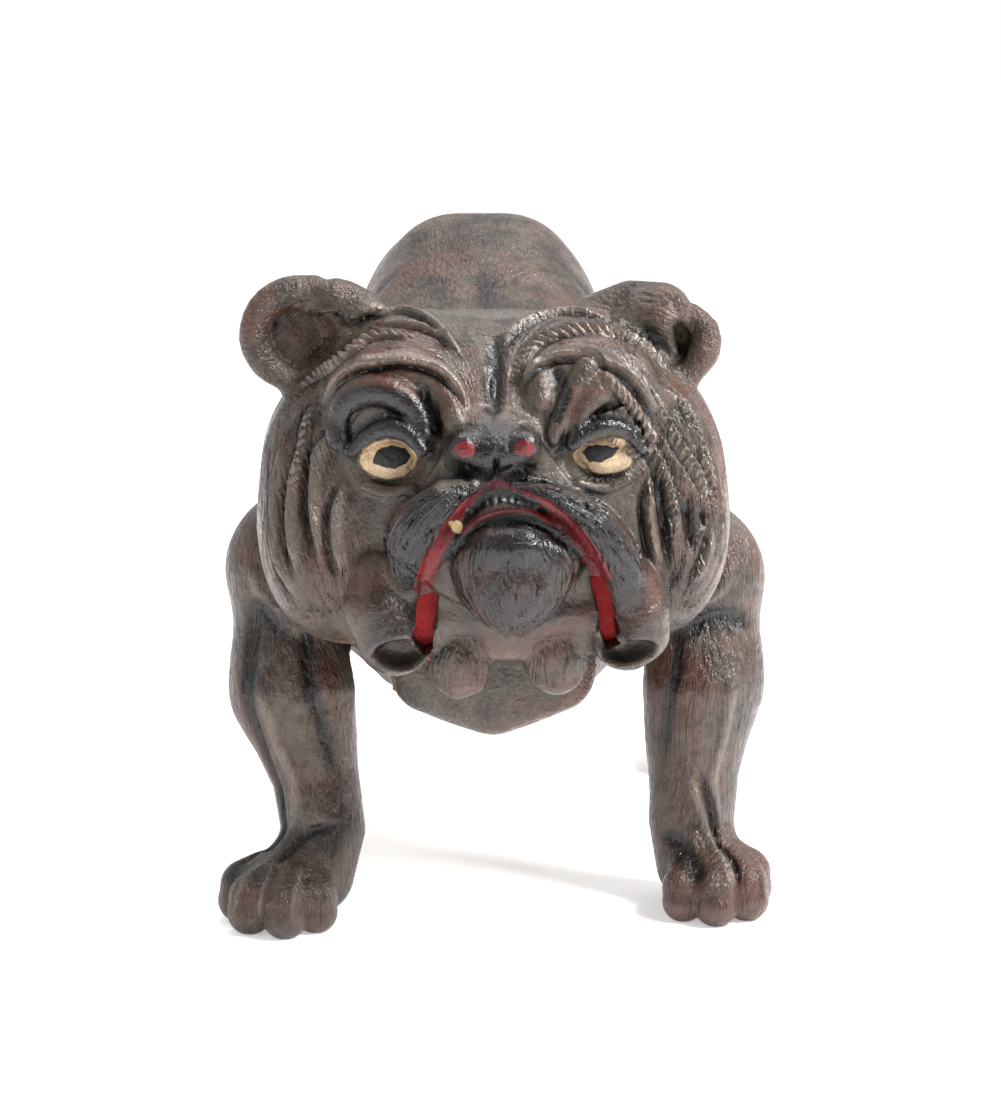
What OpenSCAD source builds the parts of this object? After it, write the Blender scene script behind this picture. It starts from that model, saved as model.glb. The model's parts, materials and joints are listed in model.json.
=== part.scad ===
/* [Figure] */
// Length over chin and rump
figure_length = 150; // [110:1:200]
// Width over the front feet
figure_width = 94; // [76:1:125]
// Height to the top of the rump
figure_height = 108; // [90:1:140]

/* [Casting] */
// Wall of the hollow castings
wall = 2.6; // [1.8:0.1:4]
// Width of the neck opening between body and head
neck_opening_d = 26; // [16:1:30]
// Width of each pierced mouth corner
mouth_gap_w = 4.6; // [3:0.1:6]
// Height of each pierced mouth corner
mouth_gap_h = 9; // [6:0.5:11]
// Thickness of the felt behind the mouth corners
felt_t = 0.9; // [0.6:0.1:1.5]

/* [Coin slot] */
// Length of the slot across the shoulders
slot_length = 34; // [26:0.5:38]
// Width of the slot
slot_width = 4.5; // [3:0.1:6]

/* [Trap] */
// Width of the belly opening
opening_w = 21; // [16:0.5:26]
// Length of the belly opening
opening_l = 33; // [24:0.5:38]
// How far the door laps the casting round the opening
door_lap = 1.2; // [0.8:0.1:2]
// Thickness of the door and its frame
plate_t = 1.4; // [1:0.1:2]
// Width of the frame's rim
frame_rim = 4.2; // [3.5:0.1:6]
// Gap round the door
door_gap = 0.35; // [0.2:0.05:0.6]
// Diameter of the hinge pin
pin_d = 1.6; // [1.2:0.1:2.4]
// Radial clearance of turning fits
running_fit = 0.05; // [0.02:0.01:0.1]
// Diameter of the frame's rivets
rivet_d = 1.6; // [1.2:0.1:2.2]

/* [Lock] */
// Diameter of the lock case
case_d = 13; // [11:0.5:15]
// Height of the lock case
case_h = 3.4; // [2.6:0.1:5]
// Sheet of the lock case
case_t = 0.6; // [0.4:0.1:1]
// Diameter of the spindle's body
spindle_d = 4.4; // [3.4:0.1:5.5]
// Side of the spindle's square key socket
key_square = 2; // [1.4:0.1:2.6]
// Width of the cam's arm
cam_w = 4; // [3:0.1:6]
// Thickness of the cam
cam_t = 1; // [0.7:0.1:1.6]
// How far the turned cam reaches over the casting
cam_reach = 1.8; // [1:0.1:2.4]

/* [Hidden] */

// The figure is drawn once at these sizes and stretched to the sizes asked for
drawn = [94, 150, 108];
k = [figure_width / drawn.x, figure_length / drawn.y, figure_height / drawn.z];
sides = 28;
bronze = [0.36, 0.29, 0.25];
dark_bronze = [0.25, 0.21, 0.19];
red_felt = [0.72, 0.07, 0.08];
brass = [0.71, 0.58, 0.32];
steel = [0.45, 0.45, 0.46];

// Sections of the body: [y, height of the centre, half width, half height]
body_rows = [[-46, 48, 6, 7], [-43, 50, 14, 15], [-38, 53, 19.5, 21.5], [-31, 57, 24, 26.4], [-24, 60.2, 28, 29.9],
    [-15, 61, 32.5, 30.5], [-5, 60.6, 34, 29.9], [6, 61.6, 32.5, 30.8], [16, 66, 28.5, 31.3], [26, 72, 24.5, 32],
    [36, 75.5, 23.5, 32], [46, 74.5, 24.5, 32.5], [55, 71.5, 24, 30.5], [63, 67.5, 20, 25], [69, 64.5, 14, 17.5],
    [73, 63, 6, 8]];
// Sections of the head, from the face to the rim round the neck
head_rows = [[-64, 67, 14, 12], [-61, 68, 23, 18], [-57, 68.8, 29.5, 22.4], [-52, 69.6, 34, 25], [-46, 70.3, 36.2, 26.2],
    [-38, 70.8, 36.3, 26.2], [-30, 71, 34.5, 25.6], [-25, 71, 31, 23]];

// The belly pad and the opening in it
pad_z = 33;
pad_y = 2;
pad_edge = 1.5;
pad_rise = 7;
pad_spread = 4;
opening_corner = 2;
opening_depth = 12;
seat_margin = 6;
seat_depth = 8;

// Neck opening and coin slot, where they lie on the drawn figure
neck_z = 64;
neck_front_y = -60;
neck_reach = 45;
slot_y = -13;
slot_z = 75;
slot_reach = 40;

// Cuts run this far past a face, and a block this large is bigger than the figure
past = 1;
beyond = 400;
round_fn = 32;
hole_fn = 24;
frame_w = opening_w + 2 * (door_lap + door_gap + frame_rim);
frame_l = opening_l + 2 * (door_lap + door_gap + frame_rim);
door_w = opening_w + 2 * door_lap;
door_l = opening_l + 2 * door_lap;
seat_gap = 0.3;
door_top = pad_z - seat_gap;
door_z = door_top - plate_t;
frame_z = pad_z - plate_t;

// The hinge runs along the door's edge on the dog's right, just under the plates
knuckle_d = pin_d + 2.4;
hinge_x = -(door_w + door_gap) / 2;
hinge_z = door_z - knuckle_d / 2 - seat_gap;
knuckles = 5;
knuckle_gap = 0.3;
knuckle_end = 3;
knuckle_row = door_l - 2 * knuckle_end;
knuckle_l = (knuckle_row - (knuckles - 1) * knuckle_gap) / knuckles;
web = knuckle_d / 2;
web_lap = 0.5;
pin_head = 0.9;
pin_head_d = knuckle_d - 1;
frame_corner = 3;
door_hole_corner = 1.5;
door_corner = 1.2;

// Rivets of the frame; their shanks stop short of the hollow
rivet_head_d = rivet_d * 1.8;
rivet_head_h = 0.6;
rivet_depth = wall - 0.6;

case_fn = 48;
// The lock sits on the door with its spindle near the edge that the cam catches
cam_length = 9.5;
lock_x = opening_w / 2 + cam_reach - cam_length;
cam_gap = 0.2;
cam_room = 1.2;
case_top = door_top + case_h;
cam_z = max(case_top, pad_z + wall) + cam_gap;
collar_d = spindle_d + 2;
collar_h = 1;
collar_gap = 0.3;
cam_hub_d = cam_w + 2;
neck_d = spindle_d - 1.4;
nut_d = 5.4;
nut_h = 1.4;
socket_depth = 3.4;
case_rivet_d = 1.2;
case_rivet_head_d = 2.2;
case_rivet_head_h = 0.5;
ear_r = 2;
escutcheon_t = 0.5;
escutcheon_rim = 1.6;
escutcheon_hole_gap = 0.2;
escutcheon_lobe_d = 3;
escutcheon_bridge = 2.2;
escutcheon_pin_d = 0.9;
escutcheon_pin_head_d = 1.6;
escutcheon_pin_head_h = 0.3;
escutcheon_pin_x = spindle_d / 2 + 3.2;
spring_w = 3;
spring_t = 0.3;
spring_toe = 1.2;
spring_gap = 0.2;
head_gap = 0.05;
ear_y = case_d / 2 + spring_gap + spring_t + head_gap + case_rivet_head_d / 2;

fullness = 0.88;
function power(v, e) = sign(v) * pow(abs(v), e);
// One closed ring of a section, drawn in by the wall where it is the inner one
function ring(row, inward) = [for (i = [0:sides - 1]) let (a = 360 * i / sides)
    [(row[2] - inward / k.x) * power(cos(a), fullness), row[0], row[1] + (row[3] - inward / k.z) * power(sin(a), fullness)]];

// A closed skin through a row of sections
module skin(rows, inward = 0) {
    rings = [for (row = rows) if (row[2] > inward / k.x + 1 && row[3] > inward / k.z + 1) ring(row, inward)];
    n = len(rings);
    walls = [for (r = [0:n - 2]) for (i = [0:sides - 1]) let (j = (i + 1) % sides)
        [r * sides + i, r * sides + j, (r + 1) * sides + j, (r + 1) * sides + i]];
    front = [[for (i = [sides - 1:-1:0]) i]];
    back = [[for (i = [0:sides - 1]) (n - 1) * sides + i]];
    polyhedron([for (r = rings) for (p = r) p], concat(walls, front, back), convexity = 6);
}

// Soft masses: a ball, a stretched ball and a run of balls joined by tapering limbs
module ball(at, r, fine = 16) {
    translate(at) sphere(r = r, $fn = fine);
}

module mass(at, half, fine = 20) {
    translate(at) scale(half) sphere(r = 1, $fn = fine);
}

module limb(path, fine = 16) {
    for (i = [0:len(path) - 2]) hull() {
        ball([path[i][0], path[i][1], path[i][2]], path[i][3], fine);
        ball([path[i + 1][0], path[i + 1][1], path[i + 1][2]], path[i + 1][3], fine);
    }
}

module stretched() {
    scale(k) children();
}

// Flat plate with true round corners
module rounded_plate(w, l, t, r) {
    linear_extrude(t) {
        square([w - 2 * r, l], center = true);
        square([w, l - 2 * r], center = true);
        for (x = [-1, 1], y = [-1, 1]) translate([x * (w / 2 - r), y * (l / 2 - r)]) circle(r = r, $fn = hole_fn);
    }
}

// Outer form of the body with its belly pad
module body_form() {
    stretched() {
        skin(body_rows);
        limb([[-10, -42, 40, 6], [0, -41, 36.5, 6.4], [10, -42, 40, 6]]);
        limb([[-11, 60, 78, 9], [-10, 48, 92, 9], [-6, 36, 97, 10]]);
        limb([[11, 60, 78, 9], [10, 48, 92, 9], [6, 36, 97, 10]]);
    }
    on_pad(pad_z) hull() {
        rounded_plate(frame_w + 2 * pad_edge, frame_l + 2 * pad_edge, 1, pad_spread);
        translate([0, 0, pad_rise]) rounded_plate(frame_w + 2 * pad_spread, frame_l + 1.5 * pad_spread, 1, 1.5 * pad_spread);
    }
}

module body_hollow() {
    stretched() skin([for (row = body_rows) if (row[0] > -42 && row[0] < 71) row], wall);
}

module body_shell() {
    color(bronze) difference() {
        body_form();
        difference() {
            body_hollow();
            below(pad_z + wall);
        }
        // flat seat of the trap frame
        on_pad(pad_z - seat_depth) rounded_plate(frame_w + 2 * seat_margin, frame_l + 2 * seat_margin, seat_depth, past);
        // belly opening
        on_pad(pad_z - past) rounded_plate(opening_w, opening_l, wall + opening_depth, opening_corner);
        // flat floor round the belly opening, so that the lock's cam can turn
        on_pad(pad_z + wall)
            rounded_plate(opening_w + 2 * (cam_reach + cam_room), opening_l, case_h + cam_t + nut_h, opening_corner);
        // neck opening towards the head
        translate([0, neck_front_y * k.y, neck_z * k.z]) rotate([-90, 0, 0])
            cylinder(d = neck_opening_d, h = neck_reach * k.y, $fn = round_fn);
        // coin slot
        translate([0, slot_y * k.y, slot_z * k.z]) rotate(90) rounded_slot(slot_width, slot_length, slot_reach * k.z);
        // rivet holes of the trap frame
        on_pad(pad_z - past) frame_rivet_places() cylinder(d = rivet_d, h = past + rivet_depth, $fn = hole_fn);
    }
}

// Everything lower than a height
module below(z) {
    translate([-beyond / 2, -beyond / 2, z - beyond]) cube(beyond);
}

module rounded_slot(w, l, h) {
    linear_extrude(h) hull() for (s = [-1, 1]) translate([0, s * (l - w) / 2]) circle(d = w, $fn = hole_fn);
}

module head_form() {
    stretched() {
        skin(head_rows);
        // muzzle, flews with their open tips, and the chin
        mass([0.5, -60, 66], [17, 12.5, 12]);
        limb([[-3, -68, 73, 4.6], [-10, -67.5, 70, 6.2], [-15.5, -65.5, 62, 6.4], [-17.5, -62.5, 53, 5.2], [-15, -60, 48.6, 4.6]]);
        limb([[2, -68, 73, 4.6], [10.5, -67.5, 71, 6.2], [17.5, -65.5, 63, 6.4], [21, -62, 53.5, 5], [18.5, -60, 48.6, 4.8]]);
        mass([2, -65.5, 62.2], [9.6, 9.5, 9.8]);
        limb([[-9, -56, 46.5, 4], [-5.5, -56, 45, 5], [2, -57, 48, 5], [9, -56, 45, 5], [13, -56, 47, 4]]);
        // web between flews and chin that the mouth corners pierce
        limb([[-16, -59, 54, 4.2], [2, -61, 55, 5], [19, -59, 54.5, 4.2]]);
        // nose, its root and the brows
        limb([[-3.5, -65.5, 79.2, 3.2], [2.2, -65.5, 79.6, 3.2]]);
        mass([-0.6, -63.5, 76.5], [7, 6, 5]);
        limb([[-21, -54, 84, 3.6], [-14, -56.5, 87.5, 4.6], [-8, -58, 82.5, 3.4]]);
        limb([[19, -54, 84, 3.6], [13, -56.5, 87.5, 4.6], [7, -58, 82.5, 3.4]]);
        // skull either side of the centre furrow
        mass([-13, -46, 84], [13, 12, 13]);
        mass([13, -46, 84], [13, 12, 13]);
        // eyes
        ball([-16.6, -54.6, 76.9], 5.2, 14);
        ball([15.2, -54.6, 77.6], 5.2, 14);
        // cheeks
        mass([-24, -50, 61], [10.5, 10, 12]);
        mass([23.5, -50, 61.5], [10.5, 10, 12]);
        // rose ears
        difference() {
            limb([[-23, -40, 92, 5.5], [-29, -41, 97.4, 6], [-34.6, -42, 94.5, 5.4], [-33, -41.5, 88.5, 4]]);
            mass([-30, -49.5, 92.5], [4.6, 5, 5.4]);
        }
        difference() {
            limb([[19, -40, 93, 5.5], [23.5, -41, 97, 6.2], [29.4, -42, 95, 5.2], [28.5, -41.5, 88.5, 4.2]]);
            mass([25, -49.5, 92], [4, 5, 5]);
        }
    }
}

module head_hollow() {
    stretched() {
        skin([for (row = head_rows) if (row[0] < -26 && row[0] > -60) row], wall);
    }
}

// The pierced corners of the mouth, slanting outwards as they go down: [upper end, lower end] seen from the front
mouth_left = [[15, 60], [16.6, 50.5]];
mouth_right = [[-11.2, 57.4], [-11.6, 49.3]];
felt_y = -58.5;
felt_w = 11;
felt_l = 14;
felt_corner = 1.5;
mouth_reach = 30;

// The middle of a mouth corner on the felt's front face, turned to look out of the mouth
module at_mouth(ends) {
    mid = (ends[0] + ends[1]) / 2;
    lean = atan2(ends[0].x - ends[1].x, ends[0].y - ends[1].y);
    translate([mid.x * k.x, felt_y * k.y, mid.y * k.z]) rotate([90, 0, 0]) rotate(-lean) children();
}

module mouth_gap(ends) {
    at_mouth(ends) rounded_slot(mouth_gap_w, mouth_gap_h, mouth_reach);
}

module felt_pad(ends) {
    at_mouth(ends) translate([0, 0, -felt_t]) rounded_plate(felt_w, felt_l, felt_t, felt_corner);
}

module head_shell() {
    color(dark_bronze) difference() {
        head_form();
        head_hollow();
        body_form();
        for (ends = [mouth_left, mouth_right]) {
            mouth_gap(ends);
            felt_pad(ends);
        }
    }
}

// Felt glued to the inner wall behind a mouth corner
module mouth_felt(ends) {
    color(red_felt) felt_pad(ends);
}

module mouth_felt_left() {
    mouth_felt(mouth_left);
}

module mouth_felt_right() {
    mouth_felt(mouth_right);
}

// Flat ground sole between heel and toe
sole_h = 2;
sole_fn = 12;
sole_heel = 0.75;
sole_toe = 0.7;
module sole(heel, toe) {
    hull() {
        translate([heel[0], heel[1], 0]) cylinder(r = heel[3] * sole_heel, h = sole_h, $fn = sole_fn);
        translate([toe[0], toe[1], 0]) cylinder(r = toe[3] * sole_toe, h = sole_h, $fn = sole_fn);
    }
}

module paw(heel, toes) {
    for (toe = toes) {
        limb([heel, toe]);
        sole(heel, toe);
    }
}

module above_ground() {
    translate([-beyond / 2, -beyond / 2, 0]) cube(beyond);
}

// A front leg from shoulder to paw, with its toes spread from the heel
module front_leg(bones, heel, toes) {
    color(bronze) difference() {
        stretched() intersection() {
            union() {
                limb(bones);
                paw(heel, toes);
            }
            above_ground();
        }
        body_form();
        head_form();
    }
}

module front_leg_left() {
    front_leg([[28.5, -24, 60, 9], [34.2, -25, 51, 9.8], [34.2, -27, 43, 8.8], [34.6, -29, 35, 9.6], [33.4, -31, 21, 7.2],
        [32.8, -32, 13, 7], [33.5, -34, 6.2, 6.6]], [35, -36, 7, 5.6],
        [[41.8, -38, 5.2, 4.9], [40.4, -44.2, 4.9, 4.9], [35.4, -47, 4.8, 4.8], [30.6, -44.6, 4.5, 4.5]]);
}

module front_leg_right() {
    front_leg([[-28.5, -24, 60, 9], [-32.4, -26, 53, 9.4], [-32.4, -28, 43, 8.8], [-32.2, -30, 35, 10], [-28.6, -33, 21, 7],
        [-27.4, -35, 13, 6.8], [-29, -38, 6.2, 6.6]], [-32, -40, 7, 5.6],
        [[-40.4, -42, 5.2, 4.9], [-38.4, -48.2, 4.9, 4.9], [-33, -50.8, 4.8, 4.8], [-28.4, -48.2, 4.5, 4.5]]);
}

// A hind leg from thigh to paw
module hind_leg(bones, heel, toes) {
    color(bronze) difference() {
        stretched() intersection() {
            union() {
                limb(bones, 18);
                paw(heel, toes);
            }
            above_ground();
        }
        body_form();
    }
}

// The left hind leg stands a little wider than the right one
module hind_leg_left() {
    hind_leg([[19, 46, 66, 14], [21.5, 43, 54, 13.5], [29, 37, 41, 9.5], [34.5, 44, 28, 6.6], [37, 52, 20, 5],
        [38.2, 50.5, 10, 4.8], [39, 48, 5.4, 5]], [39, 47, 5, 4.8],
        [[42.3, 41.6, 4.2, 3.9], [39.6, 39.4, 4.2, 4], [36.6, 40.4, 4.1, 3.8]]);
}

module hind_leg_right() {
    hind_leg([[-19, 46, 66, 14], [-21, 43, 54, 13.5], [-26.5, 37, 41, 9.5], [-30, 44, 28, 6.6], [-32, 52, 20, 5.2],
        [-33.6, 50.5, 10, 5], [-34.4, 48, 5.4, 5]], [-34.4, 47, 5, 4.8],
        [[-38, 41.6, 4.2, 3.9], [-35, 39.4, 4.2, 4], [-31.6, 40.4, 4.1, 3.8]]);
}

// Short screw tail
module tail() {
    color(bronze) difference() {
        stretched() limb([[0, 62, 90, 5.4], [1, 67.5, 88.5, 4.6], [4, 70.4, 85, 4], [7, 71, 81, 3.4], [7.5, 71.6, 77, 2.6],
            [5, 71.8, 74.6, 2]]);
        body_form();
    }
}

// Places of the frame's four rivets
module frame_rivet_places() {
    for (x = [-1, 1], y = [-1, 1])
        translate([x * (frame_w - frame_rim) / 2, y * (frame_l - frame_rim) / 2]) children();
}

module on_pad(z) {
    translate([0, pad_y * k.y, z]) children();
}

module at_lock(z) {
    translate([lock_x, pad_y * k.y, z]) children();
}

// Places of the case's two rivets and of the escutcheon's two pins, round the spindle
module case_rivet_places() {
    for (s = [-1, 1]) translate([0, s * ear_y]) children();
}

module escutcheon_pin_places() {
    for (s = [-1, 1]) translate([s * escutcheon_pin_x, 0]) children();
}

// One hinge knuckle and the web that joins it to its plate, on the side given
module knuckle(i, side, bore, web_top) {
    difference() {
        union() {
            on_knuckle(i) cylinder(d = knuckle_d, h = knuckle_l, $fn = round_fn);
            translate([hinge_x + (side > 0 ? 0 : -web), knuckle_y(i), hinge_z]) cube([web, knuckle_l, web_top - hinge_z]);
        }
        on_knuckle(i) translate([0, 0, -past]) cylinder(d = bore, h = knuckle_l + 2 * past, $fn = round_fn);
    }
}

module on_knuckle(i) {
    translate([hinge_x, knuckle_y(i), hinge_z]) rotate([-90, 0, 0]) children();
}

function knuckle_y(i) = pad_y * k.y - knuckle_row / 2 + i * (knuckle_l + knuckle_gap);

module trap_frame() {
    color(brass) {
        on_pad(frame_z) difference() {
            rounded_plate(frame_w, frame_l, plate_t, frame_corner);
            translate([0, 0, -past])
                rounded_plate(door_w + 2 * door_gap, door_l + 2 * door_gap, plate_t + 2 * past, door_hole_corner);
            frame_rivet_places() translate([0, 0, -past]) cylinder(d = rivet_d, h = plate_t + 2 * past, $fn = hole_fn);
        }
        for (i = [0:2:knuckles - 1]) knuckle(i, -1, pin_d, frame_z + web_lap);
    }
}

// Round-headed rivets through the frame into the casting
module trap_frame_rivets() {
    color(steel) on_pad(frame_z - rivet_head_h) frame_rivet_places() {
        cylinder(d = rivet_head_d, h = rivet_head_h, $fn = hole_fn);
        cylinder(d = rivet_d, h = rivet_head_h + plate_t + rivet_depth, $fn = hole_fn);
    }
}

module trap_door() {
    color(brass) {
        difference() {
            on_pad(door_z) rounded_plate(door_w, door_l, plate_t, door_corner);
            at_lock(door_z - past) {
                cylinder(d = spindle_d + 2 * running_fit, h = plate_t + 2 * past, $fn = round_fn);
                escutcheon_pin_places() cylinder(d = escutcheon_pin_d, h = plate_t + 2 * past, $fn = hole_fn);
                case_rivet_places() cylinder(d = case_rivet_d, h = plate_t + 2 * past, $fn = hole_fn);
            }
        }
        for (i = [1:2:knuckles - 1]) knuckle(i, 1, pin_d + 2 * running_fit, door_z + web_lap);
    }
}

module trap_hinge_pin() {
    color(steel) translate([hinge_x, pad_y * k.y, hinge_z]) rotate([90, 0, 0]) {
        cylinder(d = pin_d, h = knuckle_row, center = true, $fn = round_fn);
        for (s = [-1, 1]) translate([0, 0, s * (knuckle_row + pin_head) / 2])
            cylinder(d = pin_head_d, h = pin_head, center = true, $fn = round_fn);
    }
}

// Pressed case over the spindle's collar, with an ear for each rivet
module lock_case() {
    color(brass) at_lock(door_top) difference() {
        union() {
            cylinder(d = case_d, h = case_h, $fn = case_fn);
            case_rivet_places() cylinder(r = ear_r, h = case_t, $fn = hole_fn);
            translate([-ear_r, -ear_y]) cube([2 * ear_r, 2 * ear_y, case_t]);
        }
        translate([0, 0, -past]) cylinder(d = case_d - 2 * case_t, h = case_h - case_t + past, $fn = case_fn);
        cylinder(d = spindle_d + 2 * running_fit, h = case_h + past, $fn = round_fn);
        translate([0, 0, -past]) case_rivet_places() cylinder(d = case_rivet_d, h = case_t + 2 * past, $fn = hole_fn);
    }
}

module lock_case_rivets() {
    color(steel) at_lock(door_z) for (s = [-1, 1]) translate([0, s * ear_y]) {
        grip = plate_t + case_t + (s < 0 ? spring_t : 0);
        cylinder(d = case_rivet_d, h = grip + case_rivet_head_h, $fn = hole_fn);
        translate([0, 0, grip]) cylinder(d = case_rivet_head_d, h = case_rivet_head_h, $fn = hole_fn);
    }
}

// Key post: flush with the door outside, a collar inside the case, a thinner neck for the cam
module lock_spindle() {
    color(brass) at_lock(door_z) difference() {
        union() {
            cylinder(d = spindle_d, h = cam_z - door_z - cam_gap / 2, $fn = round_fn);
            translate([0, 0, plate_t + collar_gap]) cylinder(d = collar_d, h = collar_h, $fn = round_fn);
            cylinder(d = neck_d, h = cam_z - door_z + cam_t + nut_h, $fn = round_fn);
        }
        translate([-key_square / 2, -key_square / 2, -past]) cube([key_square, key_square, socket_depth + past]);
    }
}

// Arm that turns over the casting's rim; it lies along the door when the lock is open
module lock_cam() {
    color(steel) at_lock(cam_z - cam_gap / 2) difference() {
        union() {
            cylinder(d = cam_hub_d, h = cam_t, $fn = round_fn);
            translate([-cam_w / 2, 0, 0]) cube([cam_w, cam_length - cam_w / 2, cam_t]);
            translate([0, cam_length - cam_w / 2, 0]) cylinder(d = cam_w, h = cam_t, $fn = round_fn);
        }
        translate([0, 0, -past]) cylinder(d = neck_d, h = cam_t + 2 * past, $fn = round_fn);
    }
}

module cam_nut() {
    color(brass) at_lock(cam_z - cam_gap / 2 + cam_t) difference() {
        cylinder(d = nut_d, h = nut_h, $fn = 6);
        translate([0, 0, -past]) cylinder(d = neck_d, h = nut_h + 2 * past, $fn = round_fn);
    }
}

// Bent leaf held under one case rivet, its free end beside the cam's hub
module cam_spring() {
    foot_z = door_top + case_t;
    rise_y = -case_d / 2 - spring_gap;
    foot_y = -ear_y - spring_toe;
    tip_y = -cam_hub_d / 2 - spring_gap;
    lean_z = case_top + spring_gap;
    tip_z = cam_z + cam_t - spring_gap;
    color(bronze) at_lock(0) difference() {
        translate([-spring_w / 2, 0, 0]) rotate([90, 0, 90]) linear_extrude(spring_w)
            polygon([[foot_y, foot_z], [rise_y, foot_z], [rise_y, lean_z], [tip_y, tip_z - spring_t], [tip_y, tip_z],
                [rise_y - spring_t, lean_z + spring_t], [rise_y - spring_t, foot_z + spring_t], [foot_y, foot_z + spring_t]]);
        translate([0, -ear_y, foot_z - past]) cylinder(d = case_rivet_d, h = 2 * past, $fn = hole_fn);
    }
}

module keyhole_escutcheon() {
    color(brass) at_lock(door_z - escutcheon_t) difference() {
        union() {
            cylinder(d = spindle_d + 2 * (escutcheon_hole_gap + escutcheon_rim), h = escutcheon_t, $fn = case_fn);
            escutcheon_pin_places() cylinder(d = escutcheon_lobe_d, h = escutcheon_t, $fn = round_fn);
            translate([-escutcheon_pin_x, -escutcheon_bridge / 2, 0])
                cube([2 * escutcheon_pin_x, escutcheon_bridge, escutcheon_t]);
        }
        translate([0, 0, -past]) {
            cylinder(d = spindle_d + 2 * escutcheon_hole_gap, h = escutcheon_t + 2 * past, $fn = round_fn);
            escutcheon_pin_places() cylinder(d = escutcheon_pin_d, h = escutcheon_t + 2 * past, $fn = hole_fn);
        }
    }
}

module escutcheon_pins() {
    color(steel) at_lock(door_z - escutcheon_t - escutcheon_pin_head_h) escutcheon_pin_places() {
        cylinder(d = escutcheon_pin_head_d, h = escutcheon_pin_head_h, $fn = hole_fn);
        cylinder(d = escutcheon_pin_d, h = escutcheon_pin_head_h + escutcheon_t + plate_t, $fn = hole_fn);
    }
}

body_shell();
head_shell();
front_leg_left();
front_leg_right();
hind_leg_left();
hind_leg_right();
tail();
mouth_felt_left();
mouth_felt_right();
trap_frame();
trap_frame_rivets();
trap_door();
trap_hinge_pin();
lock_case();
lock_case_rivets();
lock_spindle();
lock_cam();
cam_nut();
cam_spring();
keyhole_escutcheon();
escutcheon_pins();
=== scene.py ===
# %% [markdown]
# # A cast bulldog coin bank
# The real thing is a hollow figure cast in soft metal in several parts, soldered together, bronzed
# with dark paint and touched up by hand: cream eyes, black lids and flews, red lips, and scraps of red
# felt behind the pierced corners of the mouth. A small brass trap with a lock closes its belly.
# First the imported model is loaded. It is the fixed frame, so every piece is placed by its boxes.

# %% Load the frame
import json
import math
import time
import bpy
import numpy as np
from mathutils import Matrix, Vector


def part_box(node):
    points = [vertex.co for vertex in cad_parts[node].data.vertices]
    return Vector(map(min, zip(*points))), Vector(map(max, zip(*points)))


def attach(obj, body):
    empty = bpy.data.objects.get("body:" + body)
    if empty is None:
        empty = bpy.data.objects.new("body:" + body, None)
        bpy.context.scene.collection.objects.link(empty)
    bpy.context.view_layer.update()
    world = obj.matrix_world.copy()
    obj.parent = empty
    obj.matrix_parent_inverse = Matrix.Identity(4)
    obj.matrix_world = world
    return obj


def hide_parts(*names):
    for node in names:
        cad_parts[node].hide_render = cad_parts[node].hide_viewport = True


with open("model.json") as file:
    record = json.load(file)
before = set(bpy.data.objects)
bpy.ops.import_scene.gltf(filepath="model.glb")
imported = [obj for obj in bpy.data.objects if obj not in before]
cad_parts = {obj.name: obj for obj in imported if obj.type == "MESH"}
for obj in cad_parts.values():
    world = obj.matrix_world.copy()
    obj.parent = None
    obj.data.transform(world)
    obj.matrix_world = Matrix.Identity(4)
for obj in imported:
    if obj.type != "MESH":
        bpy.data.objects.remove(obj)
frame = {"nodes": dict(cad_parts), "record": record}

import openvdb as vdb
from mathutils import Vector

MM = 0.001
started = time.perf_counter()
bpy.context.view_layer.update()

# %% [markdown]
# ## Camera, floor and light
# The figure is seen from the front, a little from above, through a long lens, so that the big head
# hides most of the body. The floor is a plain pale sheet. A wide soft window on the right gives the
# glossy paint its highlights, and a second weak one on the left keeps the dark side readable.

# %% Camera
camera = bpy.data.objects.new("camera", bpy.data.cameras.new("camera"))
bpy.context.scene.collection.objects.link(camera)
camera.location = (-0.0114, -0.4416, 0.1372)
camera.rotation_euler = (math.radians(90 - 10.93), 0, math.radians(-1.8))
camera.data.sensor_fit = "VERTICAL"
camera.data.sensor_height = 36
camera.data.lens = 85.1
camera.data.clip_start = 0.01
bpy.context.scene.camera = camera
print("camera at", tuple(round(c, 3) for c in camera.location))


# %% Floor, window and sky
def plain_material(name, colour, rough):
    material = bpy.data.materials.new(name)
    material.use_nodes = True
    shader = material.node_tree.nodes["Principled BSDF"]
    shader.inputs["Base Color"].default_value = (*colour, 1)
    shader.inputs["Roughness"].default_value = rough
    return material


floor_mesh = bpy.data.meshes.new("floor")
floor_mesh.from_pydata([(-4, -3, 0), (4, -3, 0), (4, 9, 0), (-4, 9, 0)], [], [(0, 1, 2, 3)])
floor = bpy.data.objects.new("floor", floor_mesh)
bpy.context.scene.collection.objects.link(floor)
pale = plain_material("pale_floor", (0.95, 0.95, 0.95), 0.9)
pale.node_tree.nodes["Principled BSDF"].inputs["Emission Color"].default_value = (1, 1, 1, 1)
pale.node_tree.nodes["Principled BSDF"].inputs["Emission Strength"].default_value = 0.42
floor.data.materials.append(pale)


def window(name, place, target, size, power):
    light = bpy.data.objects.new(name, bpy.data.lights.new(name, "AREA"))
    light.data.shape = "RECTANGLE"
    light.data.size, light.data.size_y = size
    light.data.energy = power
    light.location = place
    light.rotation_euler = (Vector(target) - Vector(place)).to_track_quat("-Z", "Y").to_euler()
    bpy.context.scene.collection.objects.link(light)


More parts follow.
